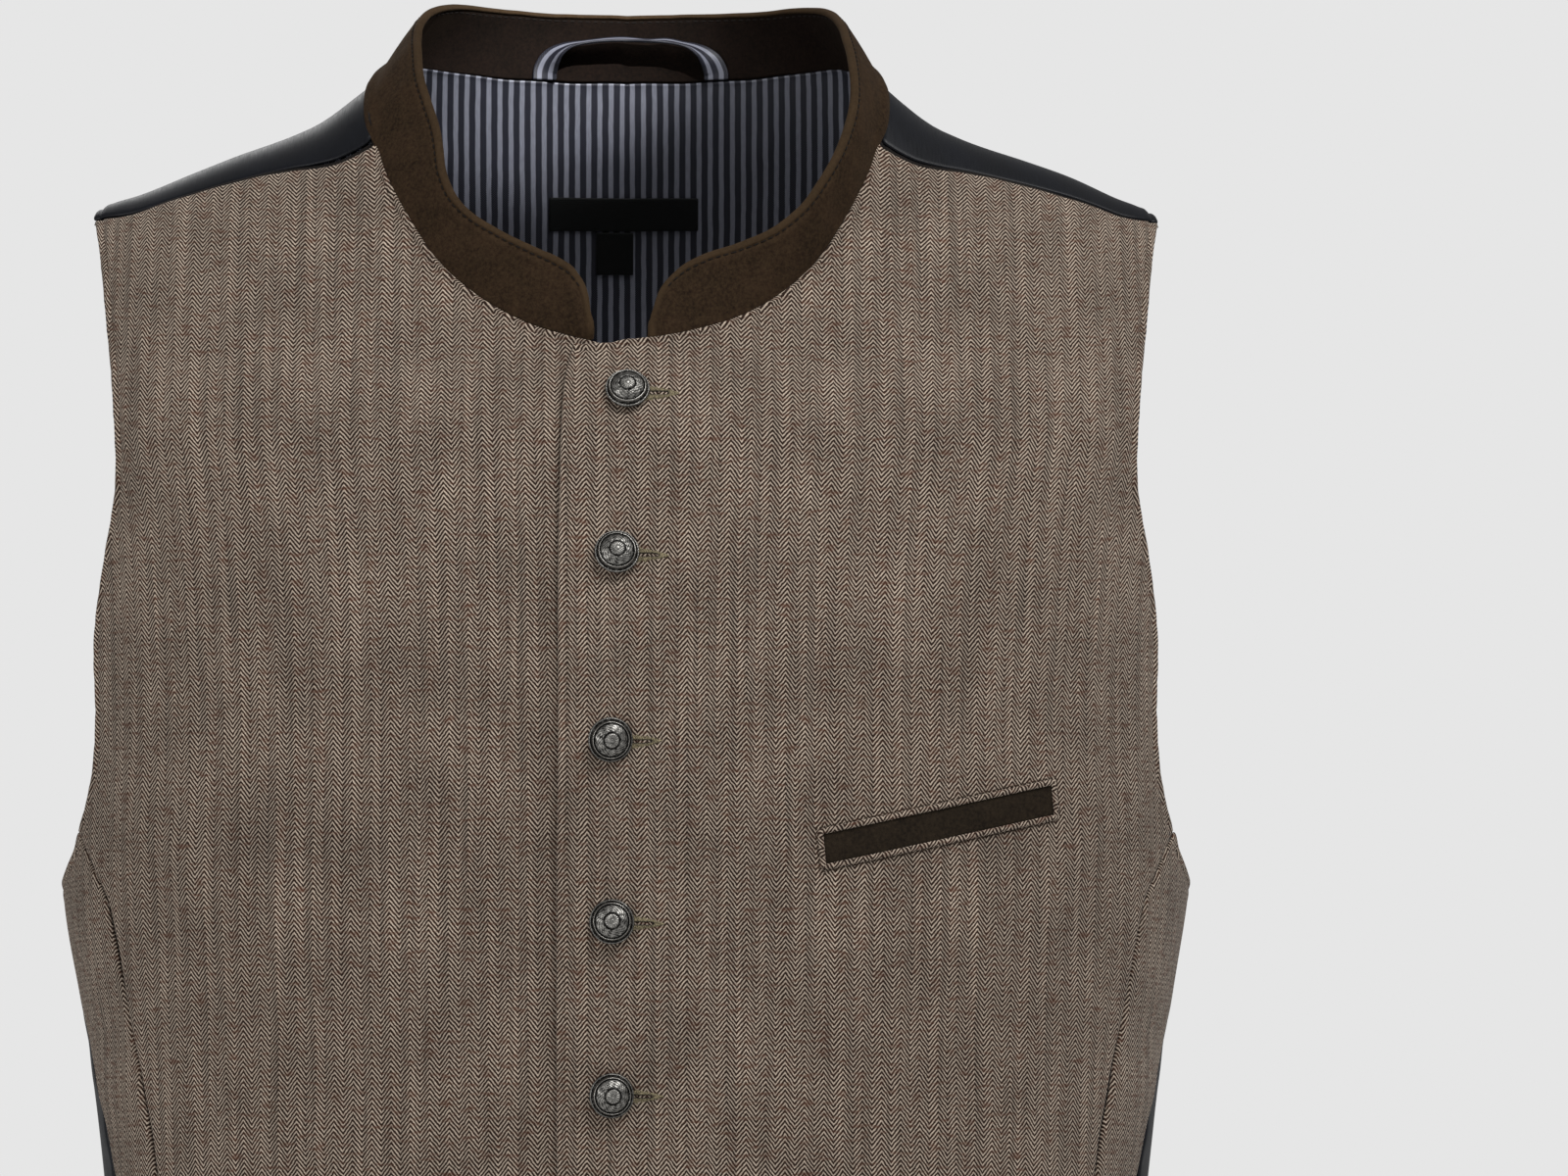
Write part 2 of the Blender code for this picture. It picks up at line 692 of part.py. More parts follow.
def add_loop(inner_face):
    """The hanger loop: a ribbon that stands off the collar's inner face at the centre back."""
    across, off, height, tilt = LOOP_LINE.T
    rows = inner_face[:, inner_face[0, :, 1] > 0]
    depth_at = [np.interp(-across * MM, -row[:, 0], row[:, 1]) for row in rows]
    height_at = [np.interp(-across * MM, -row[:, 0], row[:, 2]) for row in rows]
    columns = zip(height * MM, np.transpose(height_at), np.transpose(depth_at))
    wall = np.array([np.interp(level, heights, depths) for level, heights, depths in columns])
    middle = np.column_stack([across * MM, wall - off * MM, height * MM])
    along = np.gradient(middle, axis=0)
    along /= np.linalg.norm(along, axis=1, keepdims=True)
    in_plane = np.cross(along, (0, 1, 0))
    in_plane /= np.linalg.norm(in_plane, axis=1, keepdims=True)
    angle = np.radians(tilt)[:, None]
    width = in_plane * np.cos(angle) + np.array((0, 1, 0)) * np.sin(angle)
    shares = np.array((-0.5, 0, 0.5))[:, None, None]
    cloth("hanger_loop", middle[None] + width[None] * shares * LOOP_WIDTH, RIBBON, "striped_lining")


def button_profile():
    """The button's outer line from the top of its dome to the end of its stem."""
    stem_end = -(BUTTON_STAND + LAP_LIFT - SEAM_GAP)
    dome = [(radius * MM, height * MM) for radius, height in BUTTON_PROFILE]
    return [*dome, (STEM_RADIUS, 0), (STEM_RADIUS, stem_end), (0, stem_end)]


def add_buttons():
    """Seven turned buttons, each square to the left front, and a buttonhole cut for each stem."""
    line = button_profile()
    profile = bpy.data.meshes.new("button_profile")
    profile.from_pydata([(r, 0, z) for r, z in line], [(i, i + 1) for i in range(len(line) - 1)], [])
    profile.materials.append(material("antique_silver"))
    front = bpy.data.objects["front_left"]
    for number, (across, height) in enumerate(BUTTON_PLACES, 1):
        lateral, rise = place(across, height, "front")
        normal = Vector(outward(np.float64(lateral), np.float64(rise)))
        surface = Vector(form(lateral, rise)) + normal * LAP_LIFT
        turn = normal.to_track_quat("Z", "Y").to_euler()
        button = bpy.data.objects.new(f"button_{number}", profile)
        button.location = surface + normal * BUTTON_STAND
        button.rotation_euler = turn
        turned = button.modifiers.new("turned", "SCREW")
        turned.steps = turned.render_steps = BUTTON_STEPS
        turned.use_merge_vertices = True
        turned.merge_threshold = 0.00005
        PIECES.objects.link(button)
        cut_buttonhole(front, number, surface, turn)


def cut_buttonhole(front, number, surface, turn):
    """A tear-shaped hole: round at the stem and drawn to a point on the wearer's left."""
    arc = [math.radians(a) for a in range(60, 301, 30)]
    rim = [(BUTTONHOLE_ROUND * math.cos(a), BUTTONHOLE_ROUND * math.sin(a)) for a in arc]
    shape = bpy.data.curves.new(f"buttonhole_{number}", "CURVE")
    shape.dimensions = "2D"
    shape.fill_mode = "BOTH"
    shape.extrude = 4 * MM
    line = shape.splines.new("POLY")
    line.points.add(len(rim))
    for point, (x, y) in zip(line.points, [*rim, (BUTTONHOLE_REACH, 0)]):
        point.co = (x, y, 0, 1)
    line.use_cyclic_u = True
    flat = bpy.data.objects.new("flat", shape)
    CUTTERS.objects.link(flat)
    bpy.context.view_layer.update()
    mesh = bpy.data.meshes.new_from_object(flat.evaluated_get(bpy.context.evaluated_depsgraph_get()))
    bpy.data.objects.remove(flat)
    cutter = bpy.data.objects.new(f"cut_buttonhole_{number}", mesh)
    cutter.location = surface
    cutter.rotation_euler = turn
    cutter.hide_render = True
    cutter.display_type = "WIRE"
    CUTTERS.objects.link(cutter)
    weld = cutter.modifiers.new("weld", "WELD")
    weld.merge_threshold = 0.00001
    cut = front.modifiers.new(f"buttonhole_{number}", "BOOLEAN")
    cut.object = cutter
    cut.operation = "DIFFERENCE"
    cut.solver = "EXACT"


for old in list(bpy.data.objects):
    bpy.data.objects.remove(old)
PIECES = bpy.data.collections.new("trachten_vest")
CUTTERS = bpy.data.collections.new("cutters")
bpy.context.scene.collection.children.link(PIECES)
bpy.context.scene.collection.children.link(CUTTERS)

neck_seams = add_fronts()
add_sides()
neck_back, lining_inner_face = add_back()
collar_face = add_collar(neck_seams, neck_back)
add_labels(lining_inner_face)
add_welt()
add_loop(collar_face)
add_buttons()
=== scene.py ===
"""Looks of the trachten vest: tweed fronts, satin back, striped lining, suede collar, silver buttons.

The frame is the part's own: +X the wearer's left, -Y the front, +Z up, metres.
Sizes in the tables are millimetres. Every panel lies on one surface, the form, whose
coordinates are lateral (0 centre front, 1 side, 2 centre back) and rise (height, which
goes on over the shoulder). The same tables as in the part place every piece on its solid.
"""

import math

import bpy
import numpy as np
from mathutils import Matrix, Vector
from mathutils.bvhtree import BVHTree


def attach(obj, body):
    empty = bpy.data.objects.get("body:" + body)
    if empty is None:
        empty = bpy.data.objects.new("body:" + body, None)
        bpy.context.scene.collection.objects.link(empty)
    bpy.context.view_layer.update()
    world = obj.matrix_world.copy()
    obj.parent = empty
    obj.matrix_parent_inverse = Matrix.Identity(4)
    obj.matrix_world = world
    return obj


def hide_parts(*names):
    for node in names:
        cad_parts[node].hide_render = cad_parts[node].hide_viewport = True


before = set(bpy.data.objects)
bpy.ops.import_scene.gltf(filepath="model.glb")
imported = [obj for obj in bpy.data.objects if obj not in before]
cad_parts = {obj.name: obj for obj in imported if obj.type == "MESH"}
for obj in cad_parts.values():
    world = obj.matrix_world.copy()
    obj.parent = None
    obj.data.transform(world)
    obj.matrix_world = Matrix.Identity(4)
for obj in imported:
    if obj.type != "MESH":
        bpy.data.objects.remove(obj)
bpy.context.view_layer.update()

MM = 0.001
MIRROR = (-1, 1, 1)

# Thickness of each cloth in millimetres, and the space between two layers.
FRONT_CLOTH = 1.8
BACK_CLOTH = 1.5
LINING_CLOTH = 1.0
SUEDE = 1.3
LAYER_GAP = 0.5
BOTH_COLLARS = 2 * SUEDE + LAYER_GAP
SEAM_INSET = 0.12  # half of the open line between two sewn panels

# Distance of the topstitching from each kind of edge, in millimetres.
EDGE_STITCH = 3.2
NECK_STITCH = 2.9
HEM_STITCH = 4.0
COLLAR_STITCH = 2.6

# Repeats of the woven patterns, in millimetres.
TWEED_REPEAT = 7.0
TWEED_LINE = 1.8
STRIPE_REPEAT = 4.1
STRIPE_STEP = 0.7
CHECK_PITCH = 0.9

# ---------------------------------------------------------------- the form, as in the part

SECTIONS = np.array((
    # height, half width, front depth, back depth
    (-580, 194.0, 111, 102), (-510, 189.0, 108, 95), (-440, 187.5, 107, 91),
    (-398, 190.5, 109, 93), (-360, 195.4, 112, 97), (-330, 200.0, 114, 101),
    (-291, 206.0, 116, 105), (-240, 206.0, 118, 109), (-190, 206.0, 114, 111),
    (-150, 206.0, 104, 109), (-120, 206.0, 92, 104), (-97, 206.0, 80, 97),
    (-60, 206.0, 69, 84), (-30, 206.0, 62, 72), (0, 206.0, 57, 62), (30, 206.0, 53, 56),
), float)
SECTION_POWER = 2.3
SECTION_ASPECT = 0.56
SHOULDER_BASE = -130.0
ARCH_LENGTH = 156.0
ARCH_POWER = 2.2
RIDGE_DEPTH = 2.0
RIDGE = np.array((
    # distance from the centre, height of the shoulder's ridge
    (0, 110.0), (50, 62.0), (80, 25.0), (93.7, 4.9), (102.7, -3.0), (113.6, -11.0),
    (123.0, -15.2), (146.4, -23.6), (161.6, -29.5), (178.6, -36.8), (191.3, -41.8),
    (196.5, -45.4), (206, -54.0),
), float)
HEM = -580.0
CENTRE_BACK = 2.0

NECK_BACK = (
    (0, 9.6, "back"), (28, 10.0, "back"), (52, 11.2, "back"), (73, 13.2, "back"),
    (84, 12.4, "back"), (90.5, 8.8, "back"), (94.0, -3.0, "over"), (93.4, -11.0, "over"),
    (91.3, -19.5, "over"),
)
NECK_FRONT = (
    (91.3, -19.5), (88.0, -30.5), (83.0, -41.3), (76.3, -53.3), (67.0, -66.8),
    (54.5, -78.0), (38.5, -87.5), (23.4, -92.6),
)
SHOULDER_SEAM = (
    (91.3, -19.5), (97.4, -24.2), (104.0, -27.4), (113.8, -29.4), (128.5, -31.2),
    (142.4, -34.2), (156.4, -38.0), (171.8, -42.4), (187.6, -46.2), (195.9, -47.4),
)
ARMHOLE_FRONT = (
    (197.2, -271.5), (193.2, -254.0), (191.3, -232.0), (192.0, -200.0), (188.5, -172.0),
    (184.9, -148.0), (185.6, -115.0), (190.0, -80.0), (195.9, -47.4),
)
ARMHOLE_UNDER = (
    (197.2, -271.5), (200.0, -277.0), (203.6, -284.5), (206.0, -291.0),
)
ARMHOLE_BACK = (
    (206.0, -291.0, "back"), (203.6, -287.5, "back"), (198.8, -279.5, "back"),
    (191.5, -260.0, "back"), (188.0, -238.0, "back"), (184.5, -205.0, "back"),
    (181.0, -165.0, "back"), (181.5, -125.0, "back"), (186.0, -90.0, "back"),
    (192.0, -60.0, "back"), (195.9, -47.4, "over"),
)
SIDE_FRONT_SEAM = np.array((
    # height, share of the section's half width
    (-580, 0.858), (-510, 0.864), (-440, 0.873), (-383, 0.8850), (-361, 0.8905),
    (-331, 0.8990), (-310, 0.9010), (-294, 0.9090), (-284, 0.9280), (-271.5, 0.9573),
), float)
SIDE_SEAM = np.array((
    # height, distance in front of the form's side
    (-580, 38.0), (-510, 37.0), (-440, 35.0), (-398, 33.0), (-371, 29.0), (-352, 21.0),
    (-338, 10.0), (-320, 3.0), (-291, 0.0),
), float)

LAP_LIFT = 3.0
LAP_FULL = 25
LAP_NONE = 60
LEFT_FRONT = {
    "edge": (
        (-24.6, HEM), (-24.6, -390.0), (-24.5, -250.0),
        (-24.0, -150.0), (-22.6, -113.0), (-19.5, -98.2),
    ),
    "neck_end": ((7.6, -95.6), (-6.0, -97.6), (-19.5, -98.2)),
    "collar_end": 7.6,
}
RIGHT_FRONT = {
    "edge": ((-20.0, HEM), (-20.0, -390.0), (-20.0, -250.0), (-20.0, -120.0), (-20.0, -101.5)),
    "neck_end": ((12.7, -95.4), (-4.0, -99.6), (-20.0, -101.5)),
    "collar_end": 12.7,
}

# The collar's top edge, by its share of the half neck seam from the centre back.
RIM_LEFT = np.array((
    # share, across, depth, height
    (0.000, 0.0, 49.5, 34.0), (0.100, 27.0, 46.5, 34.3), (0.200, 51.0, 37.5, 34.6),
    (0.286, 68.0, 22.5, 34.8), (0.340, 75.0, 9.0, 32.5), (0.393, 79.2, -8.0, 26.0),
    (0.429, 80.4, -19.0, 20.0), (0.464, 81.6, -28.5, 14.0), (0.500, 82.6, -38.0, 7.0),
    (0.536, 82.8, -46.0, -1.0), (0.571, 82.0, -52.5, -9.0), (0.607, 80.0, -58.0, -17.0),
    (0.643, 77.5, -62.5, -24.0), (0.679, 73.8, -66.0, -31.0), (0.714, 68.6, -69.5, -39.0),
    (0.750, 63.2, -72.0, -46.2), (0.786, 55.0, -74.0, -53.2), (0.857, 40.0, -76.5, -60.5),
    (0.910, 27.0, -77.5, -64.8), (0.950, 17.6, -78.0, -70.2), (0.980, 11.3, -78.3, -78.0),
    (1.000, 8.0, -78.6, -88.0),
), float)
RIM_RIGHT = np.array((
    # share, across, depth, height
    (0.000, 0.0, 49.5, 34.0), (0.100, 27.0, 46.5, 34.4), (0.200, 50.0, 36.5, 35.4),
    (0.286, 66.0, 21.0, 35.6), (0.340, 73.0, 8.0, 32.5), (0.393, 76.8, -8.0, 26.0),
    (0.429, 77.0, -17.5, 20.5), (0.464, 76.5, -26.0, 15.0), (0.500, 75.8, -34.0, 8.0),
    (0.536, 74.5, -41.0, 1.0), (0.571, 72.0, -47.0, -7.0), (0.607, 69.3, -52.5, -15.5),
    (0.643, 67.6, -57.5, -24.0), (0.679, 66.2, -62.0, -33.5), (0.714, 62.3, -66.0, -42.5),
    (0.750, 54.8, -69.6, -50.2), (0.786, 46.0, -72.0, -55.6), (0.857, 32.5, -75.5, -62.4),
    (0.910, 24.0, -77.0, -66.5), (0.950, 18.6, -77.8, -70.6), (0.980, 14.6, -78.2, -78.0),
    (1.000, 12.7, -78.5, -88.0),
), float)
COLLAR_BULGE = 0.8 * MM

LABEL = {"across": (-29.5, 26.7), "height": (-43.3, -31.8)}
SIZE_TAG = {"across": (-11.6, 2.1), "height": (-59.5, -44.2)}
WELT_CORNERS = ((68.5, -271.0), (150.5, -253.8), (151.5, -264.8), (69.6, -282.0))
LOOP_WIDTH = 8.0
LOOP_LINE = np.array((
    # across, distance in front of the collar, height, tilt of the width out of the collar's plane
    (-31.0, 2.0, 9.8, 0), (-30.8, 2.4, 13.0, 8), (-29.2, 4.2, 17.0, 30),
    (-25.6, 6.0, 20.6, 58), (-19.5, 7.0, 23.2, 74), (-8.0, 7.4, 24.6, 79),
    (8.0, 7.4, 24.6, 79), (20.5, 7.0, 23.2, 74), (27.2, 6.0, 20.4, 58),
    (31.2, 4.2, 16.6, 30), (33.0, 2.4, 12.5, 8), (33.2, 2.0, 9.8, 0),
), float)
BUTTONS = (
    # across, height, lean of the face to the wearer's left and up, degrees, quarter turns of the rosette
    (0.0, -115.9, 1, 3, 0.10),
    (-3.8, -173.5, 4, 6, 0.70),
    (-6.2, -237.9, 9, -8, 0.35),
    (-5.4, -301.9, 2, 8, 0.90),
    (-5.7, -362.4, 9, 1, 0.55),
    (-5.7, -425.0, 4, 4, 0.20),
    (-5.7, -487.5, 3, -4, 0.80),
)


def smooth(table, at):
    """Cubic through a table's rows, whose first column rises; held at the two end rows."""
    start, values = table[:, 0], table[:, 1:]
    slopes = np.gradient(values, start, axis=0)
    at = np.clip(np.asarray(at, float), start[0], start[-1])
    row = np.clip(np.searchsorted(start, at) - 1, 0, len(start) - 2)
    step = (start[row + 1] - start[row])[..., None]
    t = (at - start[row])[..., None] / step
    return (
        (2 * t**3 - 3 * t**2 + 1) * values[row]
        + (t**3 - 2 * t**2 + t) * step * slopes[row]
        + (3 * t**2 - 2 * t**3) * values[row + 1]
        + (t**3 - t**2) * step * slopes[row + 1]
    )


def quarter_section():
    """Share of arc length, of half width and of depth along a quarter of the superellipse."""
    angle = np.linspace(0, math.pi / 2, 1201)
    across = np.sin(angle) ** (2 / SECTION_POWER)
    out = np.clip(np.cos(angle), 0, 1) ** (2 / SECTION_POWER)
    arc = np.concatenate([[0], np.cumsum(np.hypot(np.diff(across), SECTION_ASPECT * np.diff(out)))])
    return arc / arc[-1], across, out


ARC, ACROSS, OUT = quarter_section()


def form(lateral, rise):
    """Points of the form, in metres, for arrays of its two coordinates."""
    lateral, rise = np.broadcast_arrays(np.asarray(lateral, float), np.asarray(rise, float))
    quarter = 1 - np.abs(1 - np.abs(lateral))
    level = np.minimum(rise, SHOULDER_BASE)
    half_width = smooth(SECTIONS, level)[..., 0]
    across = half_width * np.interp(quarter, ARC, ACROSS)
    turn = np.clip((rise - SHOULDER_BASE) / ARCH_LENGTH, 0, 2) * math.pi / 2
    ridge = smooth(RIDGE, across)[..., 0]
    height = level + (ridge - SHOULDER_BASE) * np.sin(turn) ** (2 / ARCH_POWER)
    front = (np.abs(lateral) < 1) != (turn > math.pi / 2)
    depths = smooth(SECTIONS, height)
    depth = np.where(front, -depths[..., 1], depths[..., 2]) * np.interp(quarter, ARC, OUT)
    closing = np.abs(np.cos(turn)) ** (2 / ARCH_POWER)
    side = np.sign(lateral) * across
    return np.stack([side, RIDGE_DEPTH + (depth - RIDGE_DEPTH) * closing, height], -1) * MM


def outward(lateral, rise):
    """Unit normals of the form, pointing out of the figure."""
    small = 0.002
    along = form(lateral + small, rise) - form(lateral - small, rise)
    up = form(lateral, rise + 0.5) - form(lateral, rise - 0.5)
    return unit(np.cross(along, up))


def unit(vectors):
    """Vectors brought to length 1."""
    return vectors / np.maximum(np.linalg.norm(vectors, axis=-1, keepdims=True), 1e-12)


def place(across, height, face):
    """The form's coordinates of points seen from the front at these places.

    They lie on its front, its back, or over the shoulder's ridge, as the face says.
    """
    across, height = np.broadcast_arrays(np.asarray(across, float), np.asarray(height, float))
    half_width = smooth(SECTIONS, np.minimum(height, SHOULDER_BASE))[..., 0]
    quarter = np.interp(np.abs(across) / half_width, ACROSS, ARC)
    ridge = smooth(RIDGE, np.abs(across))[..., 0]
    share = np.clip((height - SHOULDER_BASE) / (ridge - SHOULDER_BASE), 0, 1)
    turns = np.arcsin(share ** (ARCH_POWER / 2)) / (math.pi / 2)
    above = SHOULDER_BASE + ARCH_LENGTH * (2 - turns if face == "over" else turns)
    lateral = (quarter if face == "front" else 2 - quarter) * np.where(across < 0, -1, 1)
    return np.stack([lateral, np.where(height > SHOULDER_BASE, above, height)], -1)


def places(rows, face=None):
    """The form's coordinates of a table's rows, all on one face or each on the face it names."""
    return np.array([place(*row[:2], face or row[2]) for row in rows])


def lengths_along(points):
    """Distance along a line of points, from 0 at its first."""
    return np.concatenate([[0], np.cumsum(np.linalg.norm(np.diff(points, axis=0), axis=1))])


def curve(knots):
    """A smooth line of 600 points through knots on the form."""
    chords = lengths_along(form(*knots.T))
    return smooth(np.column_stack([chords, knots]), np.linspace(0, chords[-1], 600))


def level_line(lateral_at, low, high):
    """A line up the form, whose lateral place is a function of height."""
    height = np.linspace(low, high, 400)
    return np.column_stack([lateral_at(height), height])


def side_front_lateral(height):
    """Lateral place of the side-front seam."""
    return np.interp(smooth(SIDE_FRONT_SEAM, height)[..., 0], ACROSS, ARC)


def side_seam_lateral(height):
    """Lateral place of the side seam."""
    share = smooth(SIDE_SEAM, height)[..., 0] / smooth(SECTIONS, height)[..., 1]
    return np.interp(-share, -OUT, ARC)


def joined(knots, start):
    """Knots of an outline, the first of them moved to the end of the line that it goes on from."""
    return np.concatenate([start[None], knots[1:]])


# ---------------------------------------------------------------- cloth on the form


SAMPLES = 1601


def even(*parts):
    """One line through the parts, sampled evenly by its real length on the form."""
    line = np.concatenate([parts[0], *(part[1:] for part in parts[1:])])
    length = lengths_along(form(*line.T))
    shares = np.linspace(0, length[-1], SAMPLES)
    return np.column_stack([np.interp(shares, length, column) for column in line.T])


def at(line, share):
    """Points of an even line at shares of its length."""
    place_on = np.asarray(share, float) * (SAMPLES - 1)
    steps = np.arange(SAMPLES)
    return np.stack([np.interp(place_on, steps, column) for column in line.T], -1)


def real_lines(outlines):
    """Outlines as points in metres, sampled about every 0.4 mm."""
    return {name: form(*even(line).T) for name, line in outlines.items()}


def flip(points):
    """Points of either half, all brought to the wearer's left."""
    return np.stack([np.abs(points[..., 0]), points[..., 1], points[..., 2]], -1)


def between(table, row, column):
    """A table read at fractional rows and columns, between its four nearest entries."""
    row, column = (np.clip(k, 0, size - 1.001) for k, size in zip((row, column), table.shape))
    a, b = row.astype(int), column.astype(int)
    s, t = row - a, column - b
    before = (1 - t) * table[a, b] + t * table[a, b + 1]
    after = (1 - t) * table[a + 1, b] + t * table[a + 1, b + 1]
    return (1 - s) * before + s * after


def step_up(x, low, high):
    """0 below low, 1 above high, an S-curve between."""
    t = np.clip((x - low) / (high - low), 0, 1)
    return t * t * (3 - 2 * t)


def hump(x, width):
    """A bell: 1 where x is 0, falling to a third at the width."""
    return np.exp(-((x / width) ** 2))


def away(points, line):
    """Distance in millimetres from each point to the nearest point of a line, 4000 points at a time."""
    flat = points.reshape(-1, 3)
    nearest = np.empty(len(flat))
    ends = (line**2).sum(1)
    for start in range(0, len(flat), 4000):
        part = flat[start:start + 4000]
        square = (part**2).sum(1)[:, None] + ends - 2 * part @ line.T
        nearest[start:start + 4000] = np.sqrt(np.maximum(square.min(1), 0))
    return nearest.reshape(points.shape[:-1]) / MM


def graded(length, inset, fine=0.55, coarse=2.7, band=5.5):
    """Shares of a length that begin and end at the inset: fine steps near both ends, coarse ones between."""
    half, step = list(np.arange(0, band, fine)), fine
    while half[-1] < length / 2 - inset:
        step = min(step * 1.22, coarse)
        half.append(half[-1] + step)
    half = inset + np.array(half) * (length / 2 - inset) / half[-1]
    return np.concatenate([half, length - half[-2::-1]]) / length


def quarter_lengths():
    """Height, and the real length of a quarter of the level section at the front and at the back."""
    quarters = [
        np.hypot(np.diff(ACROSS) * SECTIONS[:, 1:2], np.diff(OUT) * SECTIONS[:, depth:depth + 1]).sum(1)
        for depth in (2, 3)
    ]
    return np.column_stack([SECTIONS[:, 0], *quarters])


QUARTER = quarter_lengths()
ARCH_LINES, ARCH_LEVELS = 81, 161


def arch_lengths():
    """Table of the real length up from the shoulder's base on lines of constant lateral, in millimetres."""
    laterals = np.linspace(0, 2, ARCH_LINES)
    rises = np.linspace(SHOULDER_BASE, SHOULDER_BASE + 2 * ARCH_LENGTH, ARCH_LEVELS)
    steps = np.linalg.norm(np.diff(form(laterals[:, None], rises[None]), axis=1), axis=-1)
    return np.concatenate([np.zeros((ARCH_LINES, 1)), np.cumsum(steps, axis=1)], axis=1) / MM


ARCH_RUN = arch_lengths()


def grain(lateral, rise, from_back):
    """The cloth's own coordinates in metres: arc length from the centre line, and length up the cloth.

    Up to the shoulder's base the length is the height; above, it is the real length along a line of
    constant lateral, read from a table.
    """
    side = np.where(lateral < 0, -1, 1)
    lateral = np.abs(lateral)
    lengths = smooth(QUARTER, np.minimum(rise, SHOULDER_BASE))
    if from_back:
        across = (2 - lateral) * lengths[..., 1]
    else:
        across = np.minimum(lateral, 1) * lengths[..., 0] + np.maximum(lateral - 1, 0) * lengths[..., 1]
    level = (rise - SHOULDER_BASE) / (2 * ARCH_LENGTH)
    run = between(ARCH_RUN, lateral / 2 * (ARCH_LINES - 1), level * (ARCH_LEVELS - 1))
    return np.stack([side * across, np.minimum(rise, SHOULDER_BASE) + run], -1) * MM


def folds(across, height, table):
    """Sum of soft creases. Each is a bell across a bent line, and fades in and out along it by a sine."""
    total = np.zeros(np.shape(across))
    for x0, z0, x1, z1, width, depth, bend in table:
        length = math.hypot(x1 - x0, z1 - z0)
        ux, uz = (x1 - x0) / length, (z1 - z0) / length
        t = ((across - x0) * ux + (height - z0) * uz) / length
        inside = np.clip(t, 0, 1)
        off = (across - x0) * uz - (height - z0) * ux - bend * 4 * inside * (1 - inside)
        total = total + depth * hump(off, width) * np.sin(math.pi * inside) ** 1.3
    return total


def waver(across, height, seed, size):
    """Slow unevenness of well-used cloth: seven waves of 35 to 130 mm, in directions and phases from a seed."""
    rng = np.random.default_rng(seed)
    total = np.zeros(np.shape(across))
    for _ in range(7):
        angle, length, phase = rng.uniform(0, math.pi), rng.uniform(35, 130), rng.uniform(0, 6.28)
        wave = (across * math.cos(angle) + height * math.sin(angle)) * 2 * math.pi / length
        total = total + np.sin(wave + phase) * length / 130
    return total * size / 3


def turned_edge(distance, along, stitch):
    """A turned and topstitched edge: a low roll, a groove at the stitches, and small puffs between them."""
    puff = 0.09 * np.sin(along * 2 * math.pi / 11.3 + 1.1 * np.sin(along / 17))
    puff = puff + 0.06 * np.sin(along * 2 * math.pi / 6.1)
    roll = (0.35 + puff) * hump(distance - stitch * 0.42, stitch * 0.36)
    groove = -0.42 * hump(distance - stitch, 0.55)
    behind = (0.16 + puff) * hump(distance - stitch * 1.75, stitch * 0.4)
    return roll + groove + behind


def sewn(distance, depth, width):
    """The groove along a seam."""
    return -depth * hump(distance, width)


def pucker(distance, phase, size, middle=4, width=4):
    """Small waves that the thread of a seam pulls into the cloth beside it."""
    return size * hump(distance - middle, width) * np.sin(phase)


SIDES = ("inner", "outer", "low", "high")


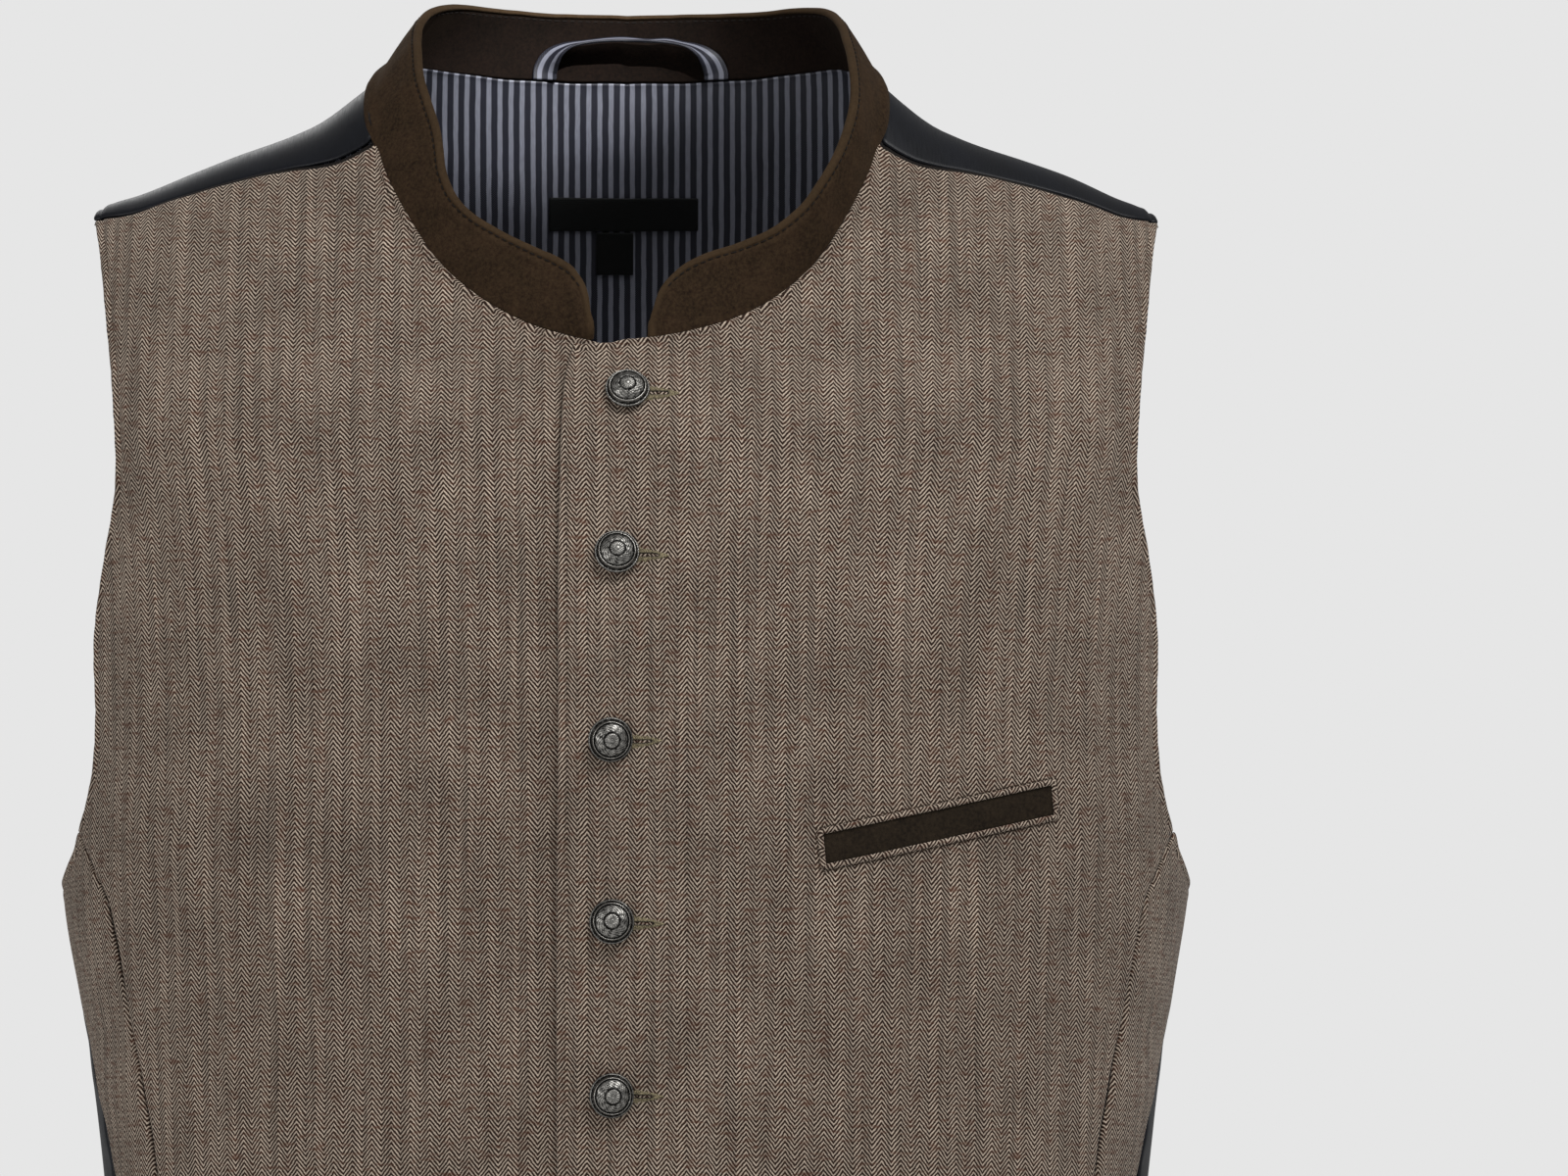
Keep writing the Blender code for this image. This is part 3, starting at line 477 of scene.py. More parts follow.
class Panel:
    """A piece of cloth on the form, as a function of two shares.

    u goes from the inner side to the outer one and v from the low side to the high one. The form's
    coordinates at (u, v) are a Coons patch of the four sides: the blend between the inner and the outer,
    plus the blend between the low and the high, less the blend of the corners; the pull of the low and
    the high side fades by the power ease. The cloth's outer face is the form there, moved along the
    form's normal by the depth of the layer and by the relief.
    """

    def __init__(self, outlines, sides, relief, layer=0.0, from_back=False, mirrored=False, ease=1):
        """sides names the outlines that follow each other on the inner, outer, low and high side."""
        self.parts, self.outlines, self.corner = outlines, real_lines(outlines), None
        self.relief, self.layer, self.ease = relief, layer, ease
        self.from_back, self.mirrored = from_back, mirrored
        self.lines = {name: even(*(outlines[part] for part in side)) for name, side in zip(SIDES, sides)}
        self.real = {name: form(*line.T) for name, line in self.lines.items()}
        size = {name: lengths_along(line)[-1] / MM for name, line in self.real.items()}
        self.width = (size["low"] + size["high"]) / 2
        self.height = (size["inner"] + size["outer"]) / 2

    def share(self, first, second):
        """The share of a side where its first outline goes over into its second."""
        lengths = [lengths_along(form(*self.parts[part].T))[-1] for part in (first, second)]
        return lengths[0] / sum(lengths)

    def coordinates(self, u, v):
        """The form's coordinates at shares u and v."""
        u, v = np.broadcast_arrays(u, v)
        inner, outer, low, high = (self.lines[name] for name in SIDES)
        a, b = u[..., None], v[..., None]
        sides = (1 - a) * at(inner, v) + a * at(outer, v)
        below, above = (1 - b) ** self.ease, b**self.ease
        ends = below * at(low, u) + above * at(high, u)
        corners = below * ((1 - a) * inner[0] + a * outer[0]) + above * ((1 - a) * inner[-1] + a * outer[-1])
        found = sides + ends - corners
        return found[..., 0], found[..., 1]

    def raised(self, base, rise):
        """Height of the outer face over points of the form, in millimetres."""
        near = flip(base) if self.from_back else base
        gap = {name: away(near, line) for name, line in self.outlines.items()}
        return self.relief(base[..., 0] / MM, base[..., 2] / MM, gap, rise) - self.layer

    def on_form(self, lateral, rise, lift=0.0):
        """Points of the outer face at the form's coordinates, lifted by a number of millimetres."""
        base = form(lateral, rise)
        height = self.raised(base, rise) + lift
        points = base + outward(lateral, rise) * np.asarray(height)[..., None] * MM
        return points * MIRROR if self.mirrored else points

    def seen(self, across, height, lift=0.0):
        """Points of the outer face that are seen from the front at these places, and normals there."""
        found = place(across, height, "back" if self.from_back else "front")
        lateral, rise = found[..., 0], found[..., 1]
        return self.on_form(lateral, rise, lift), outward(lateral, rise)

    def line(self, side, distance, span=(0.0, 1.0), to=None):
        """Points and normals of a line that keeps a distance in millimetres from one side.

        Across that side's strip the true distance to it, or to one of its outlines, is measured at 30
        steps, and the place where it reaches the wanted one is read between two of them.
        """
        along = np.linspace(*span, 420)[:, None]
        reach = np.linspace(0, distance * 2.2 + 2, 30)[None]
        share = reach / (self.width if side in ("inner", "outer") else self.height)
        share = 1 - share if side in ("outer", "high") else share
        u, v = (share, along) if side in ("inner", "outer") else (along, share)
        u, v = np.broadcast_arrays(u, v)
        lateral, rise = self.coordinates(u, v)
        gap = away(form(lateral, rise), self.outlines[to] if to else self.real[side])
        before = np.clip((gap < distance).sum(1), 1, 29)
        rows = np.arange(len(gap))
        first, last = gap[rows, before - 1], gap[rows, before]
        t = np.clip((distance - first) / np.maximum(last - first, 1e-6), 0, 1)
        pick = lambda values: values[rows, before - 1] * (1 - t) + values[rows, before] * t
        lateral, rise = pick(lateral), pick(rise)
        normals = outward(lateral, rise)
        return self.on_form(lateral, rise), normals * MIRROR if self.mirrored else normals


# ---------------------------------------------------------------- meshes


def grid_quads(rows, columns, turned=False):
    """Quads of a grid of points, rows by columns, that face the side where columns go right and rows up."""
    corner = np.arange(rows * columns).reshape(rows, columns)
    quads = np.stack([corner[:-1, :-1], corner[:-1, 1:], corner[1:, 1:], corner[1:, :-1]], -1).reshape(-1, 4)
    return quads[:, ::-1] if turned else quads


def ring_quads(rings, count, closed=False):
    """Quads between rings of points, each closed on itself; closed joins the last ring to the first."""
    i, j = np.arange(rings if closed else rings - 1)[:, None] * count, np.arange(count)[None]
    after, beside = (i + count) % (rings * count), (j + 1) % count
    return np.stack([i + j, after + j, after + beside, i + beside], -1).reshape(-1, 4)


def point_normals(points, quads):
    """Normals at points: the sum of the crossed diagonals of the quads around each."""
    faces = np.cross(points[quads[:, 2]] - points[quads[:, 0]], points[quads[:, 3]] - points[quads[:, 1]])
    total = np.zeros_like(points)
    for corner in quads.T:
        np.add.at(total, corner, faces)
    return unit(total)


def shell(points, quads, thickness, rounds=3, uv=None):
    """A wall of cloth behind its outer face.

    It gives the points, the quads, the source point of each point, where the inner face's quads start, and
    the uv. The inner face is the outer one moved back along the point normals by the thickness, in metres.
    The open edge is closed by half a circle whose diameter is the thickness, turned from the normal through
    the direction away from the cloth, which at an edge is the edge crossed with the normal. The cloth's own
    coordinates run on round that half circle by its arc length, in the direction from the next point inwards.
    """
    count = len(points)
    thickness = np.broadcast_to(thickness, count)[:, None]
    normals = point_normals(points, quads)
    inner = points - normals * thickness
    edges = np.concatenate([quads[:, [k, (k + 1) % 4, (k + 3) % 4, (k + 2) % 4]] for k in range(4)])
    key = edges[:, :2].min(1) * count + edges[:, :2].max(1)
    _, first, uses = np.unique(key, return_index=True, return_counts=True)
    border = edges[first[uses == 1]]
    border, next_in = border[:, :2], border[:, 2:]
    beyond = np.zeros_like(points)
    outwards = np.cross(points[border[:, 1]] - points[border[:, 0]], normals[border[:, 0]])
    np.add.at(beyond, border[:, 0], outwards)
    np.add.at(beyond, border[:, 1], outwards)
    rim = np.unique(border)
    order = np.zeros(count, int)
    order[rim] = np.arange(len(rim))
    beyond = unit(beyond[rim])
    middle, half = (points[rim] + inner[rim]) / 2, thickness[rim] / 2
    angles = math.pi * np.arange(1, rounds + 1) / (rounds + 1)
    rings = [middle + half * (normals[rim] * math.cos(a) + beyond * math.sin(a)) for a in angles]
    levels = [border, *(2 * count + k * len(rim) + order[border] for k in range(rounds)), border + count]
    strips = [np.column_stack([a[:, 1], a[:, 0], b[:, 0], b[:, 1]]) for a, b in zip(levels, levels[1:])]
    every = np.concatenate([points, inner, *rings])
    faces = np.concatenate([quads, *strips, quads[:, ::-1] + count])
    source = np.concatenate([np.arange(count), np.arange(count), *([rim] * rounds)])
    if uv is not None:
        inwards = np.zeros(count, int)
        inwards[border.ravel()] = next_in.ravel()
        back = inwards[rim]
        slope = (uv[rim] - uv[back]) / np.linalg.norm(points[rim] - points[back], axis=1, keepdims=True)
        uv = np.concatenate([uv, uv, *(uv[rim] + slope * half * a for a in angles)])
    return every, faces, source, len(faces) - len(quads), uv


def together(shells):
    """Several shells as one: all points, and all faces that fit them."""
    starts = np.cumsum([0, *(len(made[0]) for made in shells)])
    faces = [made[1] + start for made, start in zip(shells, starts)]
    return np.concatenate([made[0] for made in shells]), np.concatenate(faces)


def add_mesh(name, points, faces, materials, uv=None, values=None, inner_from=None, node=None, slot=None):
    """A finished piece at the origin: mesh, own coordinates, named point values, materials, body and node.

    A second material goes on the inner face. The slot is not used.
    """
    mesh = bpy.data.meshes.new(name)
    mesh.from_pydata(points.tolist(), [], faces if isinstance(faces, list) else faces.tolist())
    if uv is not None:
        corner = np.empty(len(mesh.loops), np.int32)
        mesh.loops.foreach_get("vertex_index", corner)
        layer = mesh.uv_layers.new(name="grain")
        layer.data.foreach_set("uv", uv[corner].astype(np.float32).ravel())
    for title, numbers in (values or {}).items():
        held = mesh.attributes.new(title, "FLOAT", "POINT")
        held.data.foreach_set("value", np.asarray(numbers, np.float32).ravel())
    for material in materials:
        mesh.materials.append(material)
    if len(materials) > 1:
        index = np.zeros(len(mesh.polygons), np.int32)
        index[inner_from:] = 1
        mesh.polygons.foreach_set("material_index", index)
    mesh.shade_smooth()
    piece = bpy.data.objects.new(name, mesh)
    bpy.context.scene.collection.objects.link(piece)
    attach(piece, "root")
    if node:
        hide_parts(node)
    return piece


def add_cloth(name, points, quads, thickness, materials, rounds=3, uv=None, values=None, **where):
    """A shell of cloth as a piece: thickness in millimetres, uv and values of its outer face's points."""
    every, faces, source, inner, uv = shell(points.reshape(-1, 3), quads, thickness * MM, rounds, uv)
    values = {title: numbers.ravel()[source] for title, numbers in (values or {}).items()}
    return add_mesh(name, every, faces, materials, uv, values, inner, **where)


def stitches(name, lines, material, slot, pitch=3.0, length=2.3, thick=0.42, sink=0.12):
    """Topstitching: one small closed bead of 30 faces a stitch, along each (points, normals) line.

    A bead has four rings of six points and two ends. Its radius swells and falls by its place along
    the stitch, and its middle stands a little higher than its ends, as a pulled thread does.
    """
    turn = np.arange(6) * math.pi / 3
    ring = np.stack([np.cos(turn), np.sin(turn)], -1)
    swell = ((-0.46, 0.62), (-0.2, 1), (0.2, 1), (0.46, 0.62))
    rings = [np.column_stack([np.full(6, spot), ring * size]) for spot, size in swell]
    local = np.concatenate([[(-0.5, 0, 0)], *rings, [(0.5, 0, 0)]])
    quads = 1 + ring_quads(4, 6)
    caps = [(0, 1 + i, 1 + (i + 1) % 6) for i in range(6)]
    caps += [(25, 19 + (i + 1) % 6, 19 + i) for i in range(6)]
    every = []
    for points, normals in lines:
        run = lengths_along(points) / MM
        count = int(run[-1] / pitch)
        if count < 1:
            continue
        start = (np.arange(count) + 0.5) * run[-1] / count
        read = lambda where, table: np.column_stack([np.interp(where, run, column) for column in table.T])
        a, b = read(start - length / 2, points), read(start + length / 2, points)
        up = unit(read(start, normals))
        ahead = unit(b - a)
        side = np.cross(up, ahead)
        lift = (thick * 0.5 * (1 - (2 * local[:, 0]) ** 2) - sink) * MM
        every.append(
            (a + b)[:, None] / 2
            + (b - a)[:, None] * local[None, :, :1]
            + side[:, None] * local[None, :, 1:2] * thick / 2 * MM
            + up[:, None] * (local[None, :, 2:3] * thick / 2 * MM + lift[None, :, None])
        )
    beads = np.concatenate(every)
    shift = 26 * np.arange(len(beads))
    faces = (quads[None] + shift[:, None, None]).reshape(-1, 4).tolist()
    faces += (np.array(caps)[None] + shift[:, None, None]).reshape(-1, 3).tolist()
    return add_mesh(name, beads.reshape(-1, 3), faces, [material], slot=slot)


# ---------------------------------------------------------------- materials


def hexcolour(code):
    """Linear colour of an sRGB hex value."""
    channels = [int(code[i:i + 2], 16) / 255 for i in (0, 2, 4)]
    return (*(c / 12.92 if c <= 0.04045 else ((c + 0.055) / 1.055) ** 2.4 for c in channels), 1)


def add(tree, kind, *inputs, out=0, **settings):
    """Adds a shader node and returns one of its outputs.

    inputs fill its sockets in order, None leaves one alone; a socket is linked and a number or colour
    is set. Each setting is a property of the node or else one of its sockets by name.
    """
    made = tree.nodes.new("ShaderNode" + kind)
    named = []
    for name, value in settings.items():
        if hasattr(made, name):
            setattr(made, name, value)
        else:
            named.append((made.inputs[name.replace("_", " ")], value))
    for socket, value in [*zip(made.inputs, inputs), *named]:
        if isinstance(value, bpy.types.NodeSocket):
            tree.links.new(value, socket)
        elif value is not None:
            socket.default_value = value
    return made.outputs[out]


def new_material(name, **sockets):
    """A material and its tree; sockets are constants on its shader."""
    material = bpy.data.materials.new(name)
    material.use_nodes = True
    shader = material.node_tree.nodes["Principled BSDF"]
    for title, value in sockets.items():
        shader.inputs[title.replace("_", " ")].default_value = value
    return material, material.node_tree


def finish_with(material, colour, height=None, distance=0.0002, strength=0.6, roughness=None):
    """Links colour, and where given a bump height and a roughness, to the material's shader."""
    tree = material.node_tree
    shader = tree.nodes["Principled BSDF"]
    tree.links.new(colour, shader.inputs["Base Color"])
    if height is not None:
        tree.links.new(add(tree, "Bump", strength, distance, Height=height), shader.inputs["Normal"])
    if roughness is not None:
        tree.links.new(roughness, shader.inputs["Roughness"])
    return material


def cloth_mm(tree):
    """The cloth's own coordinates in millimetres: x across it and y up it."""
    return add(tree, "VectorMath", add(tree, "UVMap", uv_map="grain"), operation="SCALE", Scale=1000.0)


def piece_mm(tree):
    """The piece's object coordinates in millimetres."""
    return add(tree, "VectorMath", add(tree, "TexCoord", out=3), operation="SCALE", Scale=1000.0)


def strayed(tree, mm, scale, detail, reach):
    """Lengths across and up the cloth, strayed by noise: half of the reach at most, to either side."""
    stray = add(tree, "TexNoise", out=1, Vector=mm, Scale=scale, Detail=detail)
    stray = add(tree, "VectorMath", stray, (0.5, 0.5, 0.5), operation="SUBTRACT")
    apart = tree.nodes.new("ShaderNodeSeparateXYZ")
    tree.links.new(add(tree, "VectorMath", stray, (*reach, 0), mm, operation="MULTIPLY_ADD"), apart.inputs[0])
    return apart.outputs[0], apart.outputs[1]


def yarn_noise(tree, mm, across, up, detail):
    """Noise drawn out along the yarns, with these scales per millimetre across and up the cloth."""
    drawn = add(tree, "VectorMath", mm, (across, up, 1), operation="MULTIPLY")
    return add(tree, "TexNoise", Vector=drawn, Scale=1.0, Detail=detail)


def ripple(tree, length, pitch):
    """Sine wave of a length, one for each pitch."""
    turns = add(tree, "Math", length, 2 * math.pi / pitch, operation="MULTIPLY")
    return add(tree, "Math", turns, operation="SINE")


def herringbone_tweed(name, light, dark, slub):
    """Woollen herringbone tweed, brushed: mealy cream lines on dark brown, which soften every edge of light.

    The V repeats every 7 mm across and its lines every 1.8 mm up. The phase is the length up, plus 1.3
    times the distance to the column's border, plus 0.08 of the length across because the weft runs a
    little askew, over the line spacing. Every second column is a shade darker, painted shade for the way
    its twill catches the light. Warp yarns streak it upright and slubs of russet weft lie across. The real
    cloth has about three finer yarns in each of these lines.
    """
    material, tree = new_material(
        name, Roughness=0.92, Sheen_Weight=0.05, Sheen_Roughness=0.5, Specular_IOR_Level=0.15)
    mm = cloth_mm(tree)
    u, v = strayed(tree, mm, 0.42, 3.0, (0.8, 0.6))
    leg = add(tree, "Math", u, TWEED_REPEAT / 2, operation="PINGPONG")
    skew = add(tree, "Math", u, 0.08, v, operation="MULTIPLY_ADD")
    line = ripple(tree, add(tree, "Math", leg, 1.3, skew, operation="MULTIPLY_ADD"), TWEED_LINE)
    flick = add(tree, "TexNoise", Vector=mm, Scale=1.3, Detail=3.0, Roughness=0.7)
    flick = add(tree, "Math", flick, 2.0, -1.0, operation="MULTIPLY_ADD")
    line = add(tree, "Math", flick, line, operation="ADD")
    line = add(tree, "MapRange", line, -0.5, 0.95, interpolation_type="SMOOTHSTEP")
    line = add(tree, "Math", line, 1.5, operation="POWER")
    colour = add(tree, "MixRGB", line, hexcolour(dark), hexcolour(light))
    patch = add(tree, "MapRange", yarn_noise(tree, mm, 0.15, 0.6, 2.0), 0.5, 0.74, 0.0, 0.7)
    colour = add(tree, "MixRGB", patch, colour, hexcolour(slub))
    # Painted shade: every second column is darkened for the way its twill catches the light.
    column = add(tree, "Math", u, TWEED_REPEAT, 0.0, operation="WRAP")
    column = add(tree, "Math", column, TWEED_REPEAT / 2, operation="GREATER_THAN")
    column = add(tree, "MapRange", column, 0.0, 1.0, 0.93, 1.07)
    streak = add(tree, "MapRange", yarn_noise(tree, mm, 0.5, 0.012, 3.0), 0.3, 0.7, 0.78, 1.2)
    shade = add(tree, "TexNoise", Vector=mm, Scale=0.035, Detail=4.0)
    shade = add(tree, "MapRange", shade, 0.32, 0.68, 0.84, 1.13)
    streak = add(tree, "Math", streak, column, operation="MULTIPLY")
    shade = add(tree, "Math", shade, streak, operation="MULTIPLY")
    colour = add(tree, "MixRGB", 1.0, colour, shade, blend_type="MULTIPLY")
    fibre = add(tree, "TexNoise", Vector=mm, Scale=5.0, Detail=2.0)
    height = add(tree, "Math", line, add(tree, "Math", fibre, 0.6, operation="MULTIPLY"), operation="ADD")
    return finish_with(material, colour, height, distance=0.00025, strength=0.5)


def plain_satin():
    """Dark warp-faced satin: fine yarns run up it and give long soft highlights with a faint streak."""
    material, tree = new_material("back_satin", Specular_IOR_Level=0.14)
    mm = cloth_mm(tree)
    warp = yarn_noise(tree, mm, 2.4, 0.12, 3.0)
    broad = add(tree, "TexNoise", Vector=mm, Scale=0.035, Detail=3.0)
    broad = add(tree, "MapRange", broad, 0.35, 0.7, 0.0, 0.6)
    colour = add(tree, "MixRGB", warp, hexcolour("090A0C"), hexcolour("131418"))
    colour = add(tree, "MixRGB", broad, colour, hexcolour("12141A"))
    rough = add(tree, "MapRange", warp, 0.3, 0.7, 0.33, 0.47)
    return finish_with(material, colour, warp, distance=0.00006, strength=0.5, roughness=rough)


def striped_satin():
    """Viscose satin lining, woven with stripes: silver-grey warp floats shine beside dark checked ones.

    The stripe repeats every 4.1 mm across, about 2 of them light. The light stripe's edge is stepped by a
    0.7 mm triangle wave up the cloth. The dark one has a diagonal check with a pitch of 0.9 mm, drawn
    about twice as coarse as its yarns so that it shows.
    """
    material, tree = new_material("lining_striped_satin", Specular_IOR_Level=0.3)
    mm = cloth_mm(tree)
    u, v = strayed(tree, mm, 0.12, 2.0, (0.5, 0.5))
    step = add(tree, "Math", v, STRIPE_STEP / 2, operation="PINGPONG")
    edge = add(tree, "Math", step, 0.5, u, operation="MULTIPLY_ADD")
    stripe = add(tree, "Math", edge, STRIPE_REPEAT / 2, operation="PINGPONG")
    stripe = add(tree, "Math", stripe, 1.16, operation="SUBTRACT")
    stripe = add(tree, "MapRange", stripe, -0.12, 0.12)
    twills = [
        add(tree, "MapRange", ripple(tree, add(tree, "Math", u, v, operation=way), CHECK_PITCH), -0.6, 0.8)
        for way in ("ADD", "SUBTRACT")
    ]
    check = add(tree, "Math", *twills, operation="MULTIPLY")
    dark = add(tree, "MixRGB", check, hexcolour("07070B"), hexcolour("2A2C3B"))
    yarn = yarn_noise(tree, mm, 3.0, 0.3, 2.0)
    light = add(tree, "MixRGB", yarn, hexcolour("4A4B53"), hexcolour("6D6F79"))
    colour = add(tree, "MixRGB", stripe, dark, light)
    rough = add(tree, "MapRange", stripe, 0.0, 1.0, 0.55, 0.36)
    height = add(tree, "Math", yarn, stripe, operation="ADD")
    return finish_with(material, colour, height, distance=0.00005, strength=0.5, roughness=rough)


def faux_suede(name, base, pale_nap_and_highlight, deep):
    """Brushed microfibre suede: a matt nap, brushed darker and lighter, and paler where a piece gives it a
    painted highlight along its rim.
    """
    material, tree = new_material(
        name, Roughness=0.95, Sheen_Weight=0.05, Sheen_Roughness=0.45, Specular_IOR_Level=0.08,
        Sheen_Tint=hexcolour("B79A7C"))
    mm = piece_mm(tree)
    mottle = add(tree, "TexNoise", Vector=mm, Scale=0.11, Detail=4.0, Roughness=0.6)
    nap = add(tree, "TexNoise", Vector=mm, Scale=0.8, Detail=4.0, Roughness=0.75)
    colour = add(tree, "MixRGB", add(tree, "MapRange", mottle, 0.32, 0.68), hexcolour(deep), hexcolour(base))
    colour = add(tree, "MixRGB", add(tree, "MapRange", nap, 0.35, 0.72, 0.0, 0.7), colour, hexcolour(pale_nap_and_highlight))
    # Painted highlight: the attribute read here pales the suede along the collar's rim, where its rounded edge
    # catches the light.
    rim_highlight = add(tree, "Attribute", out=2, attribute_name="rim_highlight")
    colour = add(tree, "MixRGB", rim_highlight, colour, hexcolour(pale_nap_and_highlight))
    height = add(tree, "Math", nap, add(tree, "Math", mottle, 2.0, operation="MULTIPLY"), operation="ADD")
    return finish_with(material, colour, height, distance=0.00022, strength=0.6)


def woven_ribbon():
    """Black polyester label ribbon: fine weft ribs, a faint satin shine, nothing woven into it."""
    material, tree = new_material("label_ribbon", Roughness=0.6, Specular_IOR_Level=0.12)
    mm = piece_mm(tree)
    rib = add(tree, "TexWave", Vector=mm, Scale=0.45, Distortion=0.4, Detail=1.0, bands_direction="Z")
    flick = add(tree, "TexNoise", Vector=mm, Scale=2.2, Detail=2.0)
    colour = add(tree, "MixRGB", flick, hexcolour("040505"), hexcolour("0A0B0B"))
    return finish_with(material, colour, rib, distance=0.00008, strength=0.5)


def antique_silver():
    """Cast zinc, silver-plated and blackened: dark in its hollows, polished on what stands out."""
    material, tree = new_material("antique_silver_plate", Metallic=1.0)
    mm = piece_mm(tree)
    hollow = add(tree, "Attribute", out=2, attribute_name="hollow")
    blot = add(tree, "TexNoise", Vector=mm, Scale=0.9, Detail=4.0, Roughness=0.65)
    blot = add(tree, "MapRange", blot, 0.3, 0.75, -0.25, 0.35)
    grime = add(tree, "Math", blot, hollow, operation="ADD", use_clamp=True)
    colour = add(tree, "MixRGB", grime, hexcolour("9C9A95"), hexcolour("141312"))
    rough = add(tree, "MapRange", grime, 0.0, 1.0, 0.26, 0.62)
    pit = add(tree, "TexNoise", Vector=mm, Scale=5.0, Detail=2.0)
    return finish_with(material, colour, pit, distance=0.00005, strength=0.35, roughness=rough)


def thread(name, light, dark):
    """Spun sewing thread: two plies that catch the light in turn, and painted shade where a piece gives the slit
    value, in a buttonhole's slit and between its ridges.
    """
    material, tree = new_material(name, Roughness=0.8, Sheen_Weight=0.03, Specular_IOR_Level=0.15)
    ply = add(tree, "TexNoise", Vector=piece_mm(tree), Scale=2.2, Detail=3.0, Roughness=0.7)
    ply = add(tree, "MapRange", ply, 0.36, 0.62)
    # The slit value is painted shade: it turns the thread nearly black.
    slit = add(tree, "Attribute", out=2, attribute_name="slit")
    colour = add(tree, "MixRGB", ply, hexcolour(dark), hexcolour(light))
    colour = add(tree, "MixRGB", slit, colour, hexcolour("0B0908"))
    return finish_with(material, colour, ply, distance=0.0001, strength=0.5)


TWEED = herringbone_tweed("herringbone_tweed", "A49687", "20120A", "472A1D")
SATIN = plain_satin()
LINING = striped_satin()
# The third colour of each suede is its paler nap, and also the colour of the painted highlight along a rim.
SUEDE_OUTER = faux_suede("suede_outer", "271B12", "3C2F20", "160E08")
# The inner collar is the same suede as the outer one, painted much darker: painted shade for the inside of the
# neck.
SUEDE_INNER_SHADED = faux_suede("suede_inner", "0D0705", "18100B", "050302")
SUEDE_WELT = faux_suede("suede_welt", "1C1610", "30281E", "110D0A")
LABEL_RIBBON = woven_ribbon()
SILVER = antique_silver()
BROWN_THREAD = thread("thread_dark_brown", "140E0A", "070504")
TWEED_THREAD = thread("thread_taupe", "4A3C30", "21180F")
OLIVE_THREAD = thread("thread_olive", "9E9274", "2C251B")


# ---------------------------------------------------------------- panels

FRONT_CREASES = (
    # from across, height, to across, height, half width, depth out, bend
    (168, -262, 149, -324, 7, 0.9, 3),
    (176, -268, 160, -330, 6, -0.7, 3),
    (186, -110, 181, -190, 7, -0.7, 2),
    (172, -70, 166, -165, 11, 0.8, -4),
    (95, -52, 96, -67, 2.5, -0.5, 1),
    (80, -74, 84, -86, 3, -0.45, 1),
    (104, -45, 96, -128, 9, 0.7, 5),
    (119, -52, 117, -150, 10, -0.8, 4),
    (137, -60, 140, -175, 12, 0.7, 4),
    (70, -80, 92, -170, 14, -0.7, -6),
    (48, -96, 78, -190, 16, 0.8, -5),
    (34, -110, 40, -225, 12, -0.5, 4),
    (182, -215, 120, -248, 10, -0.7, 6),
    (190, -240, 138, -300, 9, 0.7, -5),
    (150, -290, 60, -345, 16, 0.8, 8),
    (160, -330, 80, -372, 11, -1.0, 7),
    (150, -372, 70, -398, 10, 0.8, 5),
    (162, -398, 60, -440, 15, -0.9, 9),
    (120, -420, 30, -452, 12, 0.7, 6),
    (150, -460, 110, -560, 16, 0.9, 4),
    (96, -470, 74, -572, 18, -0.9, -4),
    (54, -450, 40, -565, 15, 0.8, 3),
)
SIDE_CREASES = (
    (170, -330, 204, -348, 7, -0.8, 2),
    (168, -362, 202, -372, 8, 0.7, -2),
    (170, -398, 200, -402, 9, -0.9, 3),
    (168, -440, 196, -436, 9, 0.7, 2),
    (176, -470, 180, -560, 9, 0.8, 3),
)
BACK_CREASES = (
    (20, -20, 90, -60, 12, -0.9, 8),
    (60, -30, 150, -80, 14, 1.0, 10),
    (150, -60, 170, -170, 11, -0.9, 5),
    (110, -70, 60, -190, 16, 0.9, 8),
    (176, -150, 120, -260, 14, 1.0, -10),
    (180, -230, 110, -310, 11, -1.1, 8),
    (186, -300, 70, -350, 13, 1.1, 9),
    (180, -352, 20, -382, 11, -1.4, 8),
    (178, -378, 40, -410, 9, 1.1, 6),
    (170, -412, 10, -430, 12, -1.2, 8),
    (160, -440, 90, -560, 18, 1.3, 6),
    (110, -450, 60, -575, 16, -1.2, -5),
    (40, -440, 30, -570, 20, 1.2, 4),
    (16, -100, 10, -330, 15, -0.8, 3),
)
LINING_CREASES = (
    (-69, -8, -72, -26, 2.4, -1.1, 1),
    (51, -8, 48, -24, 2.4, -1.0, -1),
    (10, -24, -34, -31, 6, 0.9, 2),
    (-52, -14, -20, -60, 7, -0.8, 3),
    (66, -12, 30, -66, 8, 0.9, 4),
    (84, -16, 60, -90, 7, -1.0, -4),
    (-86, -16, -66, -90, 8, 0.9, 4),
    (-14, -64, 26, -120, 12, -1.0, 5),
    (40, -120, 120, -260, 18, 1.2, 8),
    (-120, -180, -40, -330, 18, -1.2, 8),
    (150, -300, 20, -360, 14, 1.2, 8),
    (-150, -340, -10, -400, 14, -1.2, 6),
)


def front_outlines(front):
    """A front's outlines, as lines of the form's coordinates."""
    edge = curve(places(front["edge"], "front"))
    neck = curve(places((*NECK_FRONT, *front["neck_end"]), "front")[::-1])
    seam = level_line(side_front_lateral, HEM, ARMHOLE_FRONT[0][1])
    armhole = curve(joined(places(ARMHOLE_FRONT, "front"), seam[-1]))
    shoulder = curve(places(SHOULDER_SEAM, "front"))
    hem = np.linspace(edge[0], seam[0], 300)
    return {"edge": edge, "neck": neck, "seam": seam, "armhole": armhole, "shoulder": shoulder, "hem": hem}


